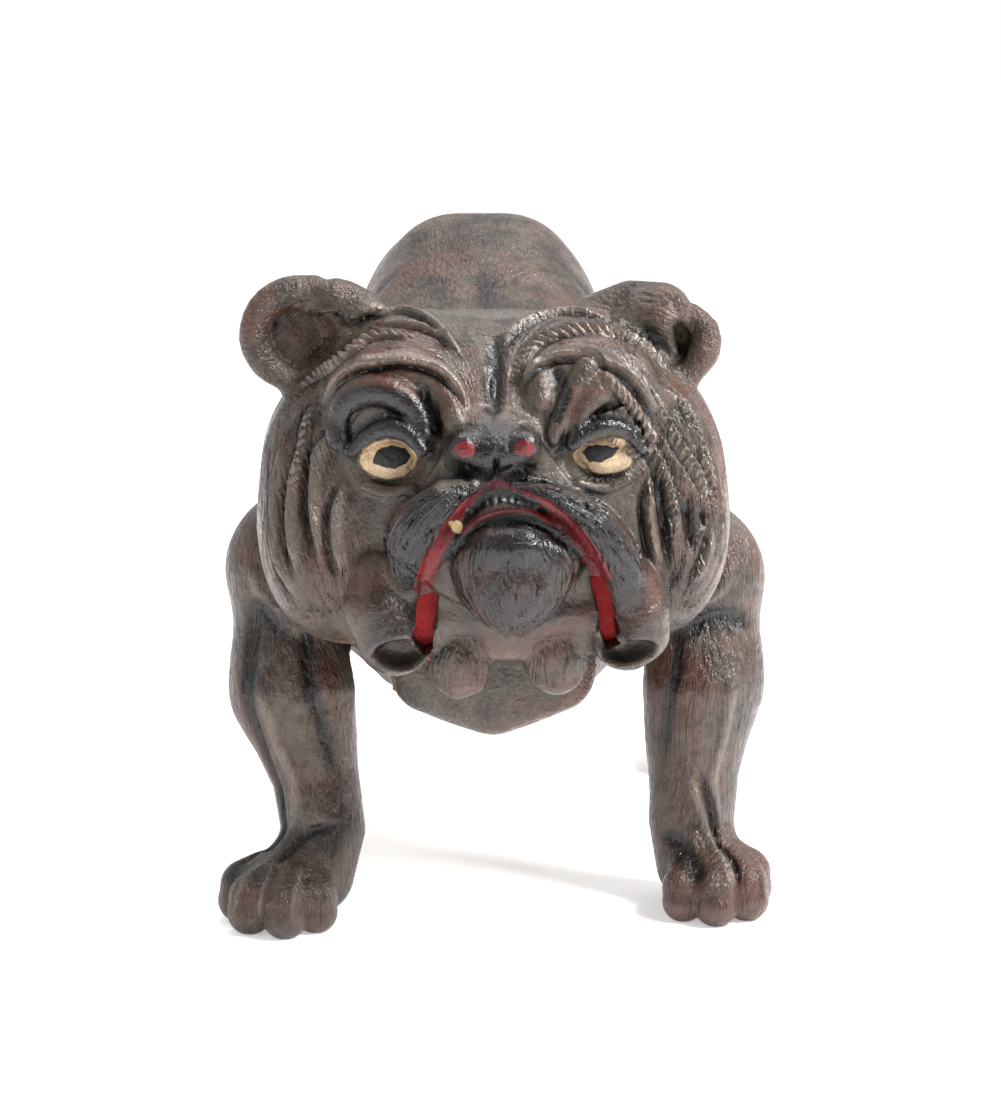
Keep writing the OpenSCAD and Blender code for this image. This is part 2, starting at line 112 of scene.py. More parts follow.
window("window_right", (0.55, -0.25, 0.60), (0, -0.03, 0.06), (0.3, 0.3), 14.0)
window("window_left", (-0.7, -0.5, 0.5), (0, -0.03, 0.06), (0.3, 0.5), 1.5)
window("skylight", (0.05, 0.15, 0.9), (0, 0, 0.05), (0.5, 0.5), 4.0)
world = bpy.data.worlds.new("studio")
bpy.context.scene.world = world
world.use_nodes = True
nodes, links = world.node_tree.nodes, world.node_tree.links
direction, axes = nodes.new("ShaderNodeTexCoord"), nodes.new("ShaderNodeSeparateXYZ")
links.new(direction.outputs["Generated"], axes.inputs[0])
room = nodes.new("ShaderNodeMapRange")
for label, value in (("From Min", -0.7), ("From Max", 0.5), ("To Min", 0.22), ("To Max", 1.0)):
    room.inputs[label].default_value = value
links.new(axes.outputs["Y"], room.inputs["Value"])
seen = nodes.new("ShaderNodeMath")
seen.operation = "MAXIMUM"
links.new(room.outputs["Result"], seen.inputs[0])
links.new(nodes.new("ShaderNodeLightPath").outputs["Is Camera Ray"], seen.inputs[1])
nodes["Background"].inputs["Color"].default_value = (1, 1, 1, 1)
links.new(seen.outputs[0], nodes["Background"].inputs["Strength"])
bpy.context.scene.view_settings.view_transform = "Standard"


# %% [markdown]
# ## Forms measured by distance
# A cast animal has no flat faces to model by hand. Here each mass is a formula that gives the distance
# from any point to its skin, negative inside: balls, stretched balls, tapering limbs and one lofted
# skin. Two distances join with a soft fillet, as clay does, and a small fillet leaves a crease.
# Sculpting in Blender's own sculpt mode would look as good, but it can't be written down.

# %% Balls, limbs, skins and fillets, in millimetres
def ball(p, c, r):
    return np.linalg.norm(p - np.array(c, float), axis=1) - r


def egg(p, c, r, turn=0.0, tip=0.0):
    """A stretched ball. turn leans it in the front view, tip leans it in the side view, in degrees."""
    q = p - np.array(c, float)
    if turn:
        s, k = math.sin(math.radians(turn)), math.cos(math.radians(turn))
        q = np.stack([k * q[:, 0] - s * q[:, 2], q[:, 1], s * q[:, 0] + k * q[:, 2]], 1)
    if tip:
        s, k = math.sin(math.radians(tip)), math.cos(math.radians(tip))
        q = np.stack([q[:, 0], k * q[:, 1] - s * q[:, 2], s * q[:, 1] + k * q[:, 2]], 1)
    r = np.array(r, float)
    far = np.linalg.norm(q / r, axis=1)
    return far * (far - 1) / (np.linalg.norm(q / (r * r), axis=1) + 1e-9)


def limb(p, path):
    """A run of balls (x, y, z, radius) joined by tapering limbs."""
    best = np.full(len(p), 1e3)
    for a, b in zip(path[:-1], path[1:]):
        start, along = np.array(a[:3], float), np.array(b[:3], float) - np.array(a[:3], float)
        t = np.clip((p - start) @ along / (along @ along), 0, 1)
        gap = np.linalg.norm(p - start - t[:, None] * along, axis=1) - (a[3] + (b[3] - a[3]) * t)
        best = np.minimum(best, gap)
    return best


def smooth_line(points, gap=0.35):
    """A curve through the points, as close samples."""
    pts = np.array(points, float)
    pts = np.concatenate([2 * pts[:1] - pts[1:2], pts, 2 * pts[-1:] - pts[-2:-1]])
    out = []
    for a, b, c, d in zip(pts[:-3], pts[1:-2], pts[2:-1], pts[3:]):
        n = max(2, int(np.linalg.norm(c - b) / gap))
        t = (np.arange(n) / n)[:, None]
        out.append(0.5 * (2 * b + (c - a) * t + (2 * a - 5 * b + 4 * c - d) * t ** 2
            + (3 * b - a - 3 * c + d) * t ** 3))
    return np.concatenate(out + [pts[-2:-1]])


def tube(p, path):
    """A limb whose balls follow a smooth curve through the points given."""
    return limb(p, smooth_line(path, 1.2))


def slab(p, c, half, r):
    """A box with rounded edges."""
    q = np.abs(p - np.array(c, float)) - (np.array(half, float) - r)
    return np.linalg.norm(np.maximum(q, 0), axis=1) + np.minimum(q.max(axis=1), 0) - r


def join(a, b, k):
    h = np.maximum(k - np.abs(a - b), 0) / k
    return np.minimum(a, b) - h * h * k / 4


def cut(a, b, k):
    return -join(-a, b, k)


def loft(p, rows, power=2.27):
    """A skin through sections [y, height of the centre, half width, half height]."""
    rows = np.array(rows, float)
    mid, wide, high = (np.interp(p[:, 1], rows[:, 0], rows[:, i]) for i in (1, 2, 3))
    q = (np.abs(p[:, 0] / wide) ** power + np.abs((p[:, 2] - mid) / high) ** power) ** (1 / power) + 1e-6
    side = np.hypot(p[:, 0], p[:, 2] - mid) * (1 - 1 / q)
    side = np.where(q < 0.2, -0.8 * np.minimum(wide, high), side)
    ends = np.maximum(rows[0, 0] - p[:, 1], p[:, 1] - rows[-1, 0])
    return np.maximum(0.9 * side, ends)


# %% [markdown]
# ## The body, legs and tail
# The body is one lofted skin, deep in the chest and tucked at the loin, with muscle laid on it: two
# haunches, two shoulder blades and the fold of skin across the chest. Legs and tail are limbs with
# a few stretched balls for the muscles. The measures stay close to the frame's, so the pieces fit its boxes.

# %% Body
BODY_ROWS = [(-46, 48, 6, 7), (-43, 50, 14, 15), (-38, 53, 19.5, 21.5), (-31, 57, 24, 26.4),
    (-24, 60.2, 28, 29.9), (-15, 61, 32.5, 30.5), (-5, 60.6, 34, 29.9), (6, 61.6, 32.5, 30.8),
    (16, 66, 28.5, 31.3), (26, 72, 24.5, 32), (36, 75.5, 23.5, 32), (46, 74.5, 24.5, 32.5),
    (55, 71.5, 24, 30.5), (63, 67.5, 20, 25), (69, 64.5, 14, 17.5), (73, 63, 6, 8)]
WALL = 2.6
trap_low, trap_high = (np.array(corner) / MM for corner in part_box("trap_frame"))
PAD_Y, PAD_Z = (trap_low[1] + trap_high[1]) / 2, trap_high[2]
FRAME_HALF = (trap_high - trap_low)[:2] / 2


def body_form(p):
    d = loft(p, BODY_ROWS)
    d = join(d, limb(p, [(-10, -42, 40, 6), (0, -41, 36.5, 6.4), (10, -42, 40, 6)]), 5)
    for s in (-1, 1):
        d = join(d, limb(p, [(s * 11, 60, 78, 8.4), (s * 10, 48, 92, 8.4), (s * 6, 36, 97, 9.4)]), 3)
        d = join(d, egg(p, (s * 25, -14, 66), (8.5, 15, 19), tip=-18), 5)
        d = join(d, egg(p, (s * 20, 44, 68), (9, 17, 19), tip=20), 5)
    return join(d, slab(p, (0, PAD_Y, PAD_Z + 6), (FRAME_HALF[0] + 1.5, FRAME_HALF[1] + 1.5, 6), 3), 3)


# %% Legs and tail
FRONT_LEGS = {
    "front_leg_left": dict(
        bones=[(28.5, -24, 60, 9), (34.2, -25, 51, 9.8), (34.2, -27, 43, 8.8), (34.6, -29, 35, 9.6),
            (33.4, -31, 21, 7.2), (32.8, -32, 13, 7), (33.5, -34, 6.2, 6.6)],
        heel=(35, -36, 7, 5.4),
        toes=[(41.8, -38, 5.2, 4.6), (40.6, -44, 5, 4.5), (35.4, -46.6, 4.8, 4.5), (30.4, -44.2, 4.6, 4.2)]),
    "front_leg_right": dict(
        bones=[(-28.5, -24, 60, 9), (-32.4, -26, 53, 9.4), (-32.4, -28, 43, 8.8), (-32.2, -30, 35, 10),
            (-28.6, -33, 21, 7), (-27.4, -35, 13, 6.8), (-29, -38, 6.2, 6.6)],
        heel=(-32, -40, 7, 5.4),
        toes=[(-40.4, -42, 5.2, 4.6), (-38.6, -48, 5, 4.5), (-33, -50.4, 4.8, 4.5),
            (-28.2, -47.8, 4.6, 4.2)]),
}


def paw(p, heel, toes):
    """Toes fan out from the heel, each with a knuckle, and stand on one flat sole."""
    d = ball(p, heel[:3], heel[3])
    for toe in toes:
        knuckle = tuple(0.45 * h + 0.55 * t for h, t in zip(heel[:3], toe[:3]))
        high = (knuckle[0], knuckle[1], knuckle[2] + 0.9, toe[3] * 0.86)
        bent = (0.1 * heel[0] + 0.9 * toe[0], 0.1 * heel[1] + 0.9 * toe[1], toe[2] + 0.4, toe[3] * 0.9)
        d = join(d, limb(p, [heel[:2] + (heel[2] + 0.4, heel[3] * 0.78), high, bent,
            toe[:2] + (toe[3] * 0.7, toe[3] * 0.8)]), 0.8)
    return d


def front_leg_form(p, bones, heel, toes):
    s = math.copysign(1, heel[0])
    d = limb(p, bones)
    x, y, z = bones[3][:3]
    d = join(d, egg(p, (x + s * 4.2, y + 1, z + 3), (5.4, 6.4, 12)), 3)
    d = join(d, egg(p, (x - s * 4.4, y - 1, z - 6), (4.2, 5.4, 13)), 3)
    d = join(d, egg(p, (bones[1][0] + s * 2, bones[1][1], bones[1][2] + 2), (8, 9, 10)), 4)
    d = join(d, paw(p, heel, toes), 2.5)
    return np.maximum(d, -p[:, 2])


HIND_LEGS = {
    "hind_leg_left": dict(
        bones=[(19, 46, 66, 14), (21.5, 43, 54, 13.5), (29, 37, 41, 9.5), (34.5, 44, 28, 6.6),
            (37, 52, 20, 5), (38.2, 50.5, 10, 4.8), (39, 48, 5.4, 5)],
        heel=(39, 47, 5, 4.8), toes=[(42.3, 41.6, 4.2, 3.9), (39.6, 39.4, 4.2, 4), (36.6, 40.4, 4.1, 3.8)]),
    "hind_leg_right": dict(
        bones=[(-19, 46, 66, 14), (-21, 43, 54, 13.5), (-26.5, 37, 41, 9.5), (-30, 44, 28, 6.6),
            (-32, 52, 20, 5.2), (-33.6, 50.5, 10, 5), (-34.4, 48, 5.4, 5)],
        heel=(-34.4, 47, 5, 4.8), toes=[(-38, 41.6, 4.2, 3.9), (-35, 39.4, 4.2, 4), (-31.6, 40.4, 4.1, 3.8)]),
}


def hind_leg_form(p, bones, heel, toes):
    s = math.copysign(1, heel[0])
    d = limb(p, bones)
    x, y, z = bones[2][:3]
    d = join(d, egg(p, (x - s * 0.5, y + 3, z + 9), (9, 13, 16), tip=30), 4)
    x, y, z = bones[4][:3]
    d = join(d, limb(p, [(x - s, y + 1.5, z + 10, 2.2), (x, y + 3.8, z + 1, 2.6)]), 2.5)
    d = join(d, paw(p, heel, toes), 2.5)
    return np.maximum(d, -p[:, 2])


def tail_form(p):
    return tube(p, [(0, 62, 90, 5.4), (1, 67.5, 88.5, 4.6), (4, 70.4, 85, 4), (7, 71, 81, 3.4),
        (7.5, 71.6, 77, 2.6), (5, 71.8, 74.6, 2)])


# %% [markdown]
# ## The head
# The head is worked as a sculptor would: first the skull, cheeks and ears, then rolls of skin laid on
# that surface. A roll is given only by its line in the front view and its thickness. Its depth is
# found by walking from the front onto the skull, so that it always sits on the skin.

# %% Skull, cheeks, ears and nose
HEAD_ROWS = [(-63, 68, 12, 11), (-61, 68, 20, 17), (-57, 68.8, 28.5, 22), (-52, 69.6, 33.5, 25),
    (-46, 70.3, 36.0, 26.2), (-38, 70.8, 36.3, 26.2), (-30, 71, 34.5, 25.6), (-25, 71, 31, 23)]


def skull_form(p):
    d = loft(p, HEAD_ROWS)
    d = join(d, egg(p, (-12.5, -46, 85), (12.5, 13, 12.5)), 5)
    d = join(d, egg(p, (12.5, -46, 84.5), (12.5, 13, 12.5)), 5)
    d = join(d, egg(p, (-24.5, -49, 61), (10.5, 11.5, 13)), 6)
    d = join(d, egg(p, (24.5, -49, 61.5), (10.5, 11.5, 13)), 6)
    d = join(d, egg(p, (0.5, -58, 66), (16, 9.5, 12.5)), 4)
    # left ear of the view: a rolled rim round a hollow, and an inner lobe
    left = limb(p, [(-21, -40, 92, 6), (-27.5, -40.5, 94.6, 6), (-30, -41, 92, 5)])
    left = cut(left, egg(p, (-29.6, -48.4, 93.2), (6.4, 7.4, 6.6), turn=35), 1.2)
    left = join(left, tube(p, [(-31.4, -43, 86.8, 1.8), (-35.0, -43.5, 89.6, 2.2), (-36.6, -44, 93.6, 2.3),
        (-35.2, -44, 98.0, 2.4), (-31.6, -43.6, 100.4, 2.5), (-27.4, -43, 100.8, 2.3)]), 1.0)
    left = join(left, tube(p, [(-28.2, -43.6, 99.2, 2.0), (-24.0, -43.8, 99.8, 2.9),
        (-19.6, -43, 97.8, 2.9)]), 0.6)
    left = join(left, egg(p, (-31, -40.2, 94.4), (6.2, 2.6, 7.4), turn=20), 0.8)
    d = join(d, left, 2.2)
    # right ear: a full lobe, a slit and a smooth rolled rim
    right = limb(p, [(17, -40, 94.5, 5.6), (21.5, -41, 96.8, 5.2), (25.6, -42, 96.6, 5.2),
        (28.0, -42, 93.6, 4.2)])
    right = cut(right, egg(p, (29.6, -47.6, 92.4), (1.9, 5.2, 4.2), turn=-22), 0.8)
    right = join(right, tube(p, [(30.6, -43.4, 97.0, 1.6), (32.6, -44.2, 94.6, 2.1), (32.4, -44.8, 91.4, 2.4),
        (30.4, -44.6, 88.4, 2.1)]), 0.6)
    d = join(d, right, 2.2)
    d = join(d, egg(p, (-15, -54.5, 87), (9.5, 6, 7.5)), 4)
    d = join(d, egg(p, (14.5, -54.5, 86.5), (9.5, 6, 7.5)), 4)
    d = join(d, egg(p, (-0.5, -60, 79), (8.5, 6.5, 6.5)), 3)
    d = join(d, egg(p, (-0.5, -64.6, 78.9), (7.0, 3.9, 3.6)), 1.5)
    d = join(d, ball(p, (-5.0, -66.0, 79.9), 2.3), 1.2)
    return join(d, ball(p, (4.0, -66.0, 80.2), 2.2), 1.2)


# %% Walk onto a surface
def walk(field, start, step, rounds=60):
    """Moves points along step until they meet the skin of field."""
    p, step = np.array(start, float), np.array(step, float)
    for _ in range(rounds):
        p += step * np.clip(field(p), -1, 6)[:, None] * 0.7
    return p


def on_front(field, points):
    """Points of the front view on the skin. One that passes above the figure falls onto its top."""
    p = walk(field, [(x, -80, z) for x, z in points], (0, 1, 0))
    missed = field(p) > 0.4
    if missed.any():
        p[missed] = walk(field, [(x, -46, 110) for (x, z), gone in zip(points, missed) if gone], (0, 0, -1))
    return p


def rolled(field, line, proud):
    """A run of balls on the skin from (x, z, radius), standing proud of it by proud."""
    skin = on_front(field, [point[:2] for point in line])
    return smooth_line([(x, y + r - proud, z, r) for (x, y, z), (_, _, r) in zip(skin, line)], 1.0)


# %% Rolls of skin round the eyes
ROLLS = [
    # over the left eye of the view: heavy roll, lid, cushion, inner fold
    ([(-23.4, 79.6, 1.3), (-23.2, 82.6, 1.9), (-21.9, 85.6, 2.3), (-19.4, 87.4, 2.5), (-16.4, 87.6, 2.5),
      (-13.6, 86.2, 2.2), (-11.6, 83.8, 1.8), (-10.8, 81.4, 1.2)], 2.0, 0.8),
    ([(-21.2, 78.6, 0.9), (-19.2, 80.6, 1.4), (-16.0, 82.1, 1.6), (-13.0, 81.4, 1.4),
      (-11.0, 79.0, 0.9)], 2.5, 0.7),
    ([(-18.6, 91.0, 1.6), (-14.0, 92.0, 2.2), (-9.8, 90.4, 1.9)], 1.1, 1.5),
    ([(-8.4, 89.6, 1.8), (-7.0, 86.6, 2.6), (-6.2, 83.2, 1.9)], 1.7, 1.0),
    ([(-19.6, 73.4, 0.7), (-16.2, 72.4, 0.9), (-12.6, 73.2, 0.7)], 0.9, 0.8),
    # over the right eye
    ([(11.3, 80.4, 1.1), (12.2, 84.2, 1.7), (14.4, 87.0, 2.3), (17.2, 88.0, 2.6), (19.8, 86.6, 2.3),
      (21.8, 83.8, 1.8), (22.6, 80.6, 1.2)], 2.0, 0.8),
    ([(10.9, 79.8, 0.9), (13.2, 81.3, 1.4), (16.4, 82.3, 1.6), (19.2, 81.2, 1.4),
      (21.2, 78.6, 0.9)], 2.5, 0.7),
    ([(13.4, 91.0, 1.8), (11.2, 87.4, 1.6), (9.6, 84.0, 1.5), (8.2, 80.8, 1.2)], 1.9, 0.8),
    ([(6.2, 89.4, 2.1), (6.4, 85.8, 2.6)], 1.6, 1.0),
    ([(12.0, 74.0, 0.7), (15.6, 73.0, 0.9), (19.4, 74.2, 0.7)], 0.9, 0.8),
]


def eyes_and_brows(p, d, rolls):
    for x, z in ((-16.1, 77.3), (15.7, 77.7)):
        d = cut(d, egg(p, (x, -63.2, z), (5.8, 4.4, 4.6)), 1.6)
    for path, fillet in rolls:
        d = join(d, limb(p, path), fillet)
    for x, z in ((-16.1, 77.2), (15.7, 77.6)):
        d = join(d, egg(p, (x, -57.4, z), (5.3, 4.0, 4.3)), 0.3)
    return d


# %% Flews, cups, chin and throat
FLEWS = [
    [(-4.0, -68.6, 74.4, 1.7), (-8.0, -68.4, 72.3, 3.2), (-11.2, -66.8, 69.2, 4.2), (-12.5, -65.4, 65.8, 4.0),
     (-13.4, -63.6, 61.8, 3.0), (-13.4, -62, 58, 2.0)],
    [(2.4, -68.8, 74.4, 1.3), (6.8, -68.6, 73.2, 1.9), (10.8, -67.6, 71.4, 2.7), (14.2, -66.2, 68.6, 3.3),
     (16.6, -65, 65.2, 3.5), (18.4, -63.6, 61.4, 3.2), (20.0, -62.4, 57, 3.0)],
]


def muzzle(p, d):
    for path in FLEWS:
        d = join(d, limb(p, path), 1.2)
    # the web of skin between flews and chin, which the corners of the mouth pierce
    d = join(d, limb(p, [(-13.5, -58.2, 53, 3.4), (2, -60, 54, 4.5), (16.5, -58.4, 53.5, 3.6)]), 2)
    d = join(d, limb(p, [(-8.6, -58.4, 49.6, 2.6), (-15, -58.6, 50, 2.6)]), 1.5)
    d = join(d, limb(p, [(9.6, -58.4, 49.8, 2.6), (18.5, -58.6, 50, 2.6)]), 1.5)
    left = limb(p, [(-17.6, -60.4, 60, 4.2), (-17.8, -61, 55, 5.2), (-15.2, -60.6, 50.6, 6.0)])
    left = cut(left, egg(p, (-13.9, -67.6, 47.9), (5.0, 7.2, 3.1), tip=-14), 0.5)
    right = limb(p, [(20.4, -61, 59, 3.6), (21.2, -61, 54, 4.6), (19.4, -60.8, 50.2, 5.1)])
    right = join(right, ball(p, (22.8, -60.6, 50.4), 3.1), 2)
    right = cut(right, egg(p, (19.6, -67.6, 47.7), (5.4, 7.4, 2.5), turn=-8, tip=-14), 0.5)
    d = join(join(d, left, 1.4), right, 1.4)
    for x, turn in ((-5.2, 10), (8.9, -10)):
        d = join(d, egg(p, (x, -56.5, 46.6), (5.0, 5.4, 6.2), turn=turn), 0.8)
    d = join(d, limb(p, [(-9.4, -56, 43.6, 1.4), (-6, -57.2, 41.6, 1.6), (-3.4, -57.4, 42.2, 1.4)]), 1)
    d = join(d, egg(p, (2, -58.5, 51), (7, 4.5, 4.6)), 1.5)
    # chin with a thick lower lip, running out in a point below
    chin = egg(p, (2.3, -64.8, 60.6), (8.6, 7.8, 7.6))
    chin = join(chin, limb(p, [(-4.2, -66.4, 63.4, 2.6), (-0.8, -69.4, 66.0, 2.9), (3.6, -69.8, 66.2, 2.9),
        (8.2, -67.0, 63.4, 2.6)]), 2.5)
    chin = join(chin, limb(p, [(2.3, -65.8, 57, 5.4), (2.5, -62.6, 52.6, 2.2)]), 3)
    return join(d, chin, 0.6)


laid_rolls = [(rolled(skull_form, line, proud), fillet) for line, proud, fillet in ROLLS]


def head_form(p):
    return muzzle(p, eyes_and_brows(p, skull_form(p), laid_rolls))


print("forms ready:", len(ROLLS), "rolls laid on the skull")


# %% [markdown]
# ## Castings that meet
# The castings overlap inside the figure and are soldered where they meet. Each piece keeps the part
# of space where its own form is the deepest, so the parts stay separate and closed. Their outer skin
# is the same soft union, so the joints are filled, as solder fills them.

# %% Which piece owns which space
FORMS = {"body_shell": body_form, "head_shell": head_form, "tail": tail_form}
for leg_name, leg in FRONT_LEGS.items():
    FORMS[leg_name] = lambda p, leg=leg: front_leg_form(p, **leg)
for leg_name, leg in HIND_LEGS.items():
    FORMS[leg_name] = lambda p, leg=leg: hind_leg_form(p, **leg)
FRONT, HIND = list(FRONT_LEGS), list(HIND_LEGS)
NEIGHBOURS = {"body_shell": ["head_shell", "tail"] + FRONT + HIND, "head_shell": ["body_shell"] + FRONT,
    "front_leg_left": ["body_shell", "head_shell"], "front_leg_right": ["body_shell", "head_shell"],
    "hind_leg_left": ["body_shell"], "hind_leg_right": ["body_shell"], "tail": ["body_shell"]}
LIFT = {"body_shell": 0.0, "head_shell": 0.04}


def outline_distance(x, z, outline):
    """Signed distance in a flat view to a closed outline, negative inside."""
    pts = np.array(outline, float)
    best, inside = np.full(len(x), 1e9), np.zeros(len(x), bool)
    for (ax, az), (bx, bz) in zip(pts, np.roll(pts, -1, 0)):
        ux, uz = bx - ax, bz - az
        t = np.clip(((x - ax) * ux + (z - az) * uz) / (ux * ux + uz * uz + 1e-9), 0, 1)
        best = np.minimum(best, (x - ax - t * ux) ** 2 + (z - az - t * uz) ** 2)
        crosses = ((az > z) != (bz > z)) & (x < ax + (z - az) * ux / (uz if abs(uz) > 1e-9 else 1e-9))
        inside ^= crosses
    return np.where(inside, -1, 1) * np.sqrt(best)


GAPS = [
    [(-11.9, 57.0), (-10.1, 57.8), (-8.7, 57.9), (-9.0, 53.9), (-9.5, 51.2), (-9.6, 48.6), (-11.0, 48.2),
     (-12.4, 49.8), (-13.1, 51.9), (-12.2, 53.8)],
    [(13.8, 60.2), (16.3, 59.4), (16.9, 57.9), (17.5, 54.6), (18.3, 53.2), (17.6, 52.1), (18.3, 50.4),
     (19.4, 50.4), (18.4, 49.2), (16.4, 48.6), (15.4, 51.6), (15.2, 54.6), (14.3, 57.6)],
]
FELT_Y = -58.5
GAP_SLOPE = 0.19
# the coin slot lies across the shoulders: half its straight run, and the radius of its ends
SLOT_Y, SLOT_STRAIGHT, SLOT_RADIUS = -13, 14.75, 2.25
OPENING_HALF = (10.5, 16.5)


def hollows(name, p):
    """Distance to the room that is cut out of a casting."""
    x, y, z = p.T
    neck = np.maximum(np.hypot(x, z - 64) - 13, np.maximum(-50 - y, y + 20))
    if name == "body_shell":
        room = np.maximum.reduce([loft(p, BODY_ROWS) + WALL, PAD_Z + WALL - z, y - 63, -40 - y])
        opening = slab(p, (0, PAD_Y, PAD_Z + 3), OPENING_HALF + (10,), 2)
        seat = slab(p, (0, PAD_Y, PAD_Z - 6), (FRAME_HALF[0] + 6, FRAME_HALF[1] + 8, 6), 0.2)
        return np.minimum.reduce([room, opening, seat, neck])
    if name == "head_shell":
        room = np.maximum(loft(p, HEAD_ROWS) + WALL, np.maximum(FELT_Y - 0.2 - y, y + 27))
        for outline in GAPS:
            pierced = outline_distance(x, z - GAP_SLOPE * (y + 61), outline)
            room = np.minimum(room, np.maximum(pierced, y + 57))
        return np.minimum(room, neck)
    return None


def coin_slot(p):
    slot = np.hypot(p[:, 1] - SLOT_Y, np.maximum(np.abs(p[:, 0]) - SLOT_STRAIGHT, 0)) - SLOT_RADIUS
    return np.maximum(slot, 70 - p[:, 2])


def piece_field(name):
    def field(p):
        mine = FORMS[name](p)
        others = [FORMS[other](p) for other in NEIGHBOURS[name]]
        # the neck flows into the shoulders, the other joints are tighter
        whole = mine
        for other, d in zip(NEIGHBOURS[name], others):
            whole = join(whole, d, 6 if {name, other} == {"body_shell", "head_shell"} else 2.5)
        lift = LIFT.get(name, 0.02)
        share = 0.5 * (mine - np.minimum.reduce(others)) - (0.5 if lift else 0)
        d = np.maximum(whole - lift, share)
        room = hollows(name, p)
        if name == "body_shell":
            d = cut(d, coin_slot(p), 0.7)
        return d if room is None else np.maximum(d, -room)
    return field


# %% [markdown]
# ## From a formula to a mesh
# The formula is sampled on a grid and OpenVDB, which comes with Blender, turns it into an even mesh.
# The mesh is then split where the sculpting is fine, and each new vertex is walked back onto the
# formula. That gives small faces on the face and large ones inside the shell.

# %% Sample, split and settle
def grid_mesh(field, low, high, step):
    count = np.ceil((np.array(high) - np.array(low)) / step).astype(int) + 1
    ax, ay, az = (low[i] + step * np.arange(count[i]) for i in range(3))
    block = np.empty(count, np.float32)
    layer = np.stack(np.meshgrid(ay, az, indexing="ij"), -1).reshape(-1, 2)
    for first in range(0, count[0], 8):
        xs = ax[first:first + 8]
        p = np.concatenate([np.repeat(xs, len(layer))[:, None], np.tile(layer, (len(xs), 1))], axis=1)
        block[first:first + 8] = field(p).reshape(len(xs), count[1], count[2])
    grid = vdb.FloatGrid(background=3.0)
    grid.copyFromArray(block)
    points, triangles, quads = grid.convertToPolygons(isovalue=0.0, adaptivity=0.0)
    faces = np.concatenate([quads[:, [0, 1, 2]], quads[:, [0, 2, 3]], triangles.reshape(-1, 3)])
    return points.astype(float) * step + np.array(low, float), faces.astype(np.int64)


def split(v, t, want):
    """Halves the edges between wanted vertices."""
    e = np.sort(np.concatenate([t[:, [0, 1]], t[:, [1, 2]], t[:, [2, 0]]]), axis=1)
    key, back = np.unique(e[:, 0] * len(v) + e[:, 1], return_inverse=True)
    a, b = key // len(v), key % len(v)
    halve = want[a] & want[b]
    middle = np.full(len(key), -1)
    middle[halve] = len(v) + np.arange(halve.sum())
    v = np.concatenate([v, (v[a[halve]] + v[b[halve]]) / 2])
    m = middle[back].reshape(3, -1).T
    cuts = (m >= 0).sum(axis=1)
    out = [t[cuts == 0]]
    f, c = t[cuts == 3], m[cuts == 3]
    out += [np.stack(s, 1) for s in ((f[:, 0], c[:, 0], c[:, 2]), (c[:, 0], f[:, 1], c[:, 1]),
        (c[:, 2], c[:, 1], f[:, 2]), (c[:, 0], c[:, 1], c[:, 2]))]
    for turn in range(3):
        roll = [turn, (turn + 1) % 3, (turn + 2) % 3]
        f, c = t[:, roll], m[:, roll]
        one = (cuts == 1) & (c[:, 0] >= 0)
        out += [np.stack((f[one, 0], c[one, 0], f[one, 2]), 1),
            np.stack((c[one, 0], f[one, 1], f[one, 2]), 1)]
        two = (cuts == 2) & (c[:, 2] < 0)
        out += [np.stack((f[two, 0], c[two, 0], c[two, 1]), 1),
            np.stack((f[two, 0], c[two, 1], f[two, 2]), 1),
            np.stack((c[two, 0], f[two, 1], c[two, 1]), 1)]
    return v, np.concatenate(out)


def slope(field, p, e=0.06):
    corners = np.array([(1, -1, -1), (-1, -1, 1), (-1, 1, -1), (1, 1, 1)], float)
    values = [field(p + e * corner) for corner in corners]
    gradient = sum(value[:, None] * corner for value, corner in zip(values, corners)) / (4 * e)
    return sum(values) / 4, gradient


def settle(field, v, which=None, rounds=2):
    which = np.arange(len(v)) if which is None else which
    for _ in range(rounds):
        d, g = slope(field, v[which])
        size = np.maximum((g * g).sum(axis=1), 0.1)
        move = g * (d / size)[:, None]
        far = np.linalg.norm(move, axis=1)
        v[which] -= move * np.minimum(1, 0.6 / np.maximum(far, 1e-9))[:, None]
    return v


def corner_normals(v, t):
    flat = np.cross(v[t[:, 1]] - v[t[:, 0]], v[t[:, 2]] - v[t[:, 0]])
    n = np.stack([sum(np.bincount(t[:, i], flat[:, k], len(v)) for i in range(3)) for k in range(3)], 1)
    return n / np.maximum(np.linalg.norm(n, axis=1), 1e-12)[:, None], flat


# %% [markdown]
# ## Strokes of the modelling tool
# Hair, wrinkles, ropes of skin and teeth are strokes: a smooth line through a few points of the
# front view, a width and a height. A rope is a ridge with slanting notches, and a fold is steep on
# one side only. The strokes move the vertices along their normals, so they need no geometry of
# their own. A displacement texture could not follow the lines so closely.

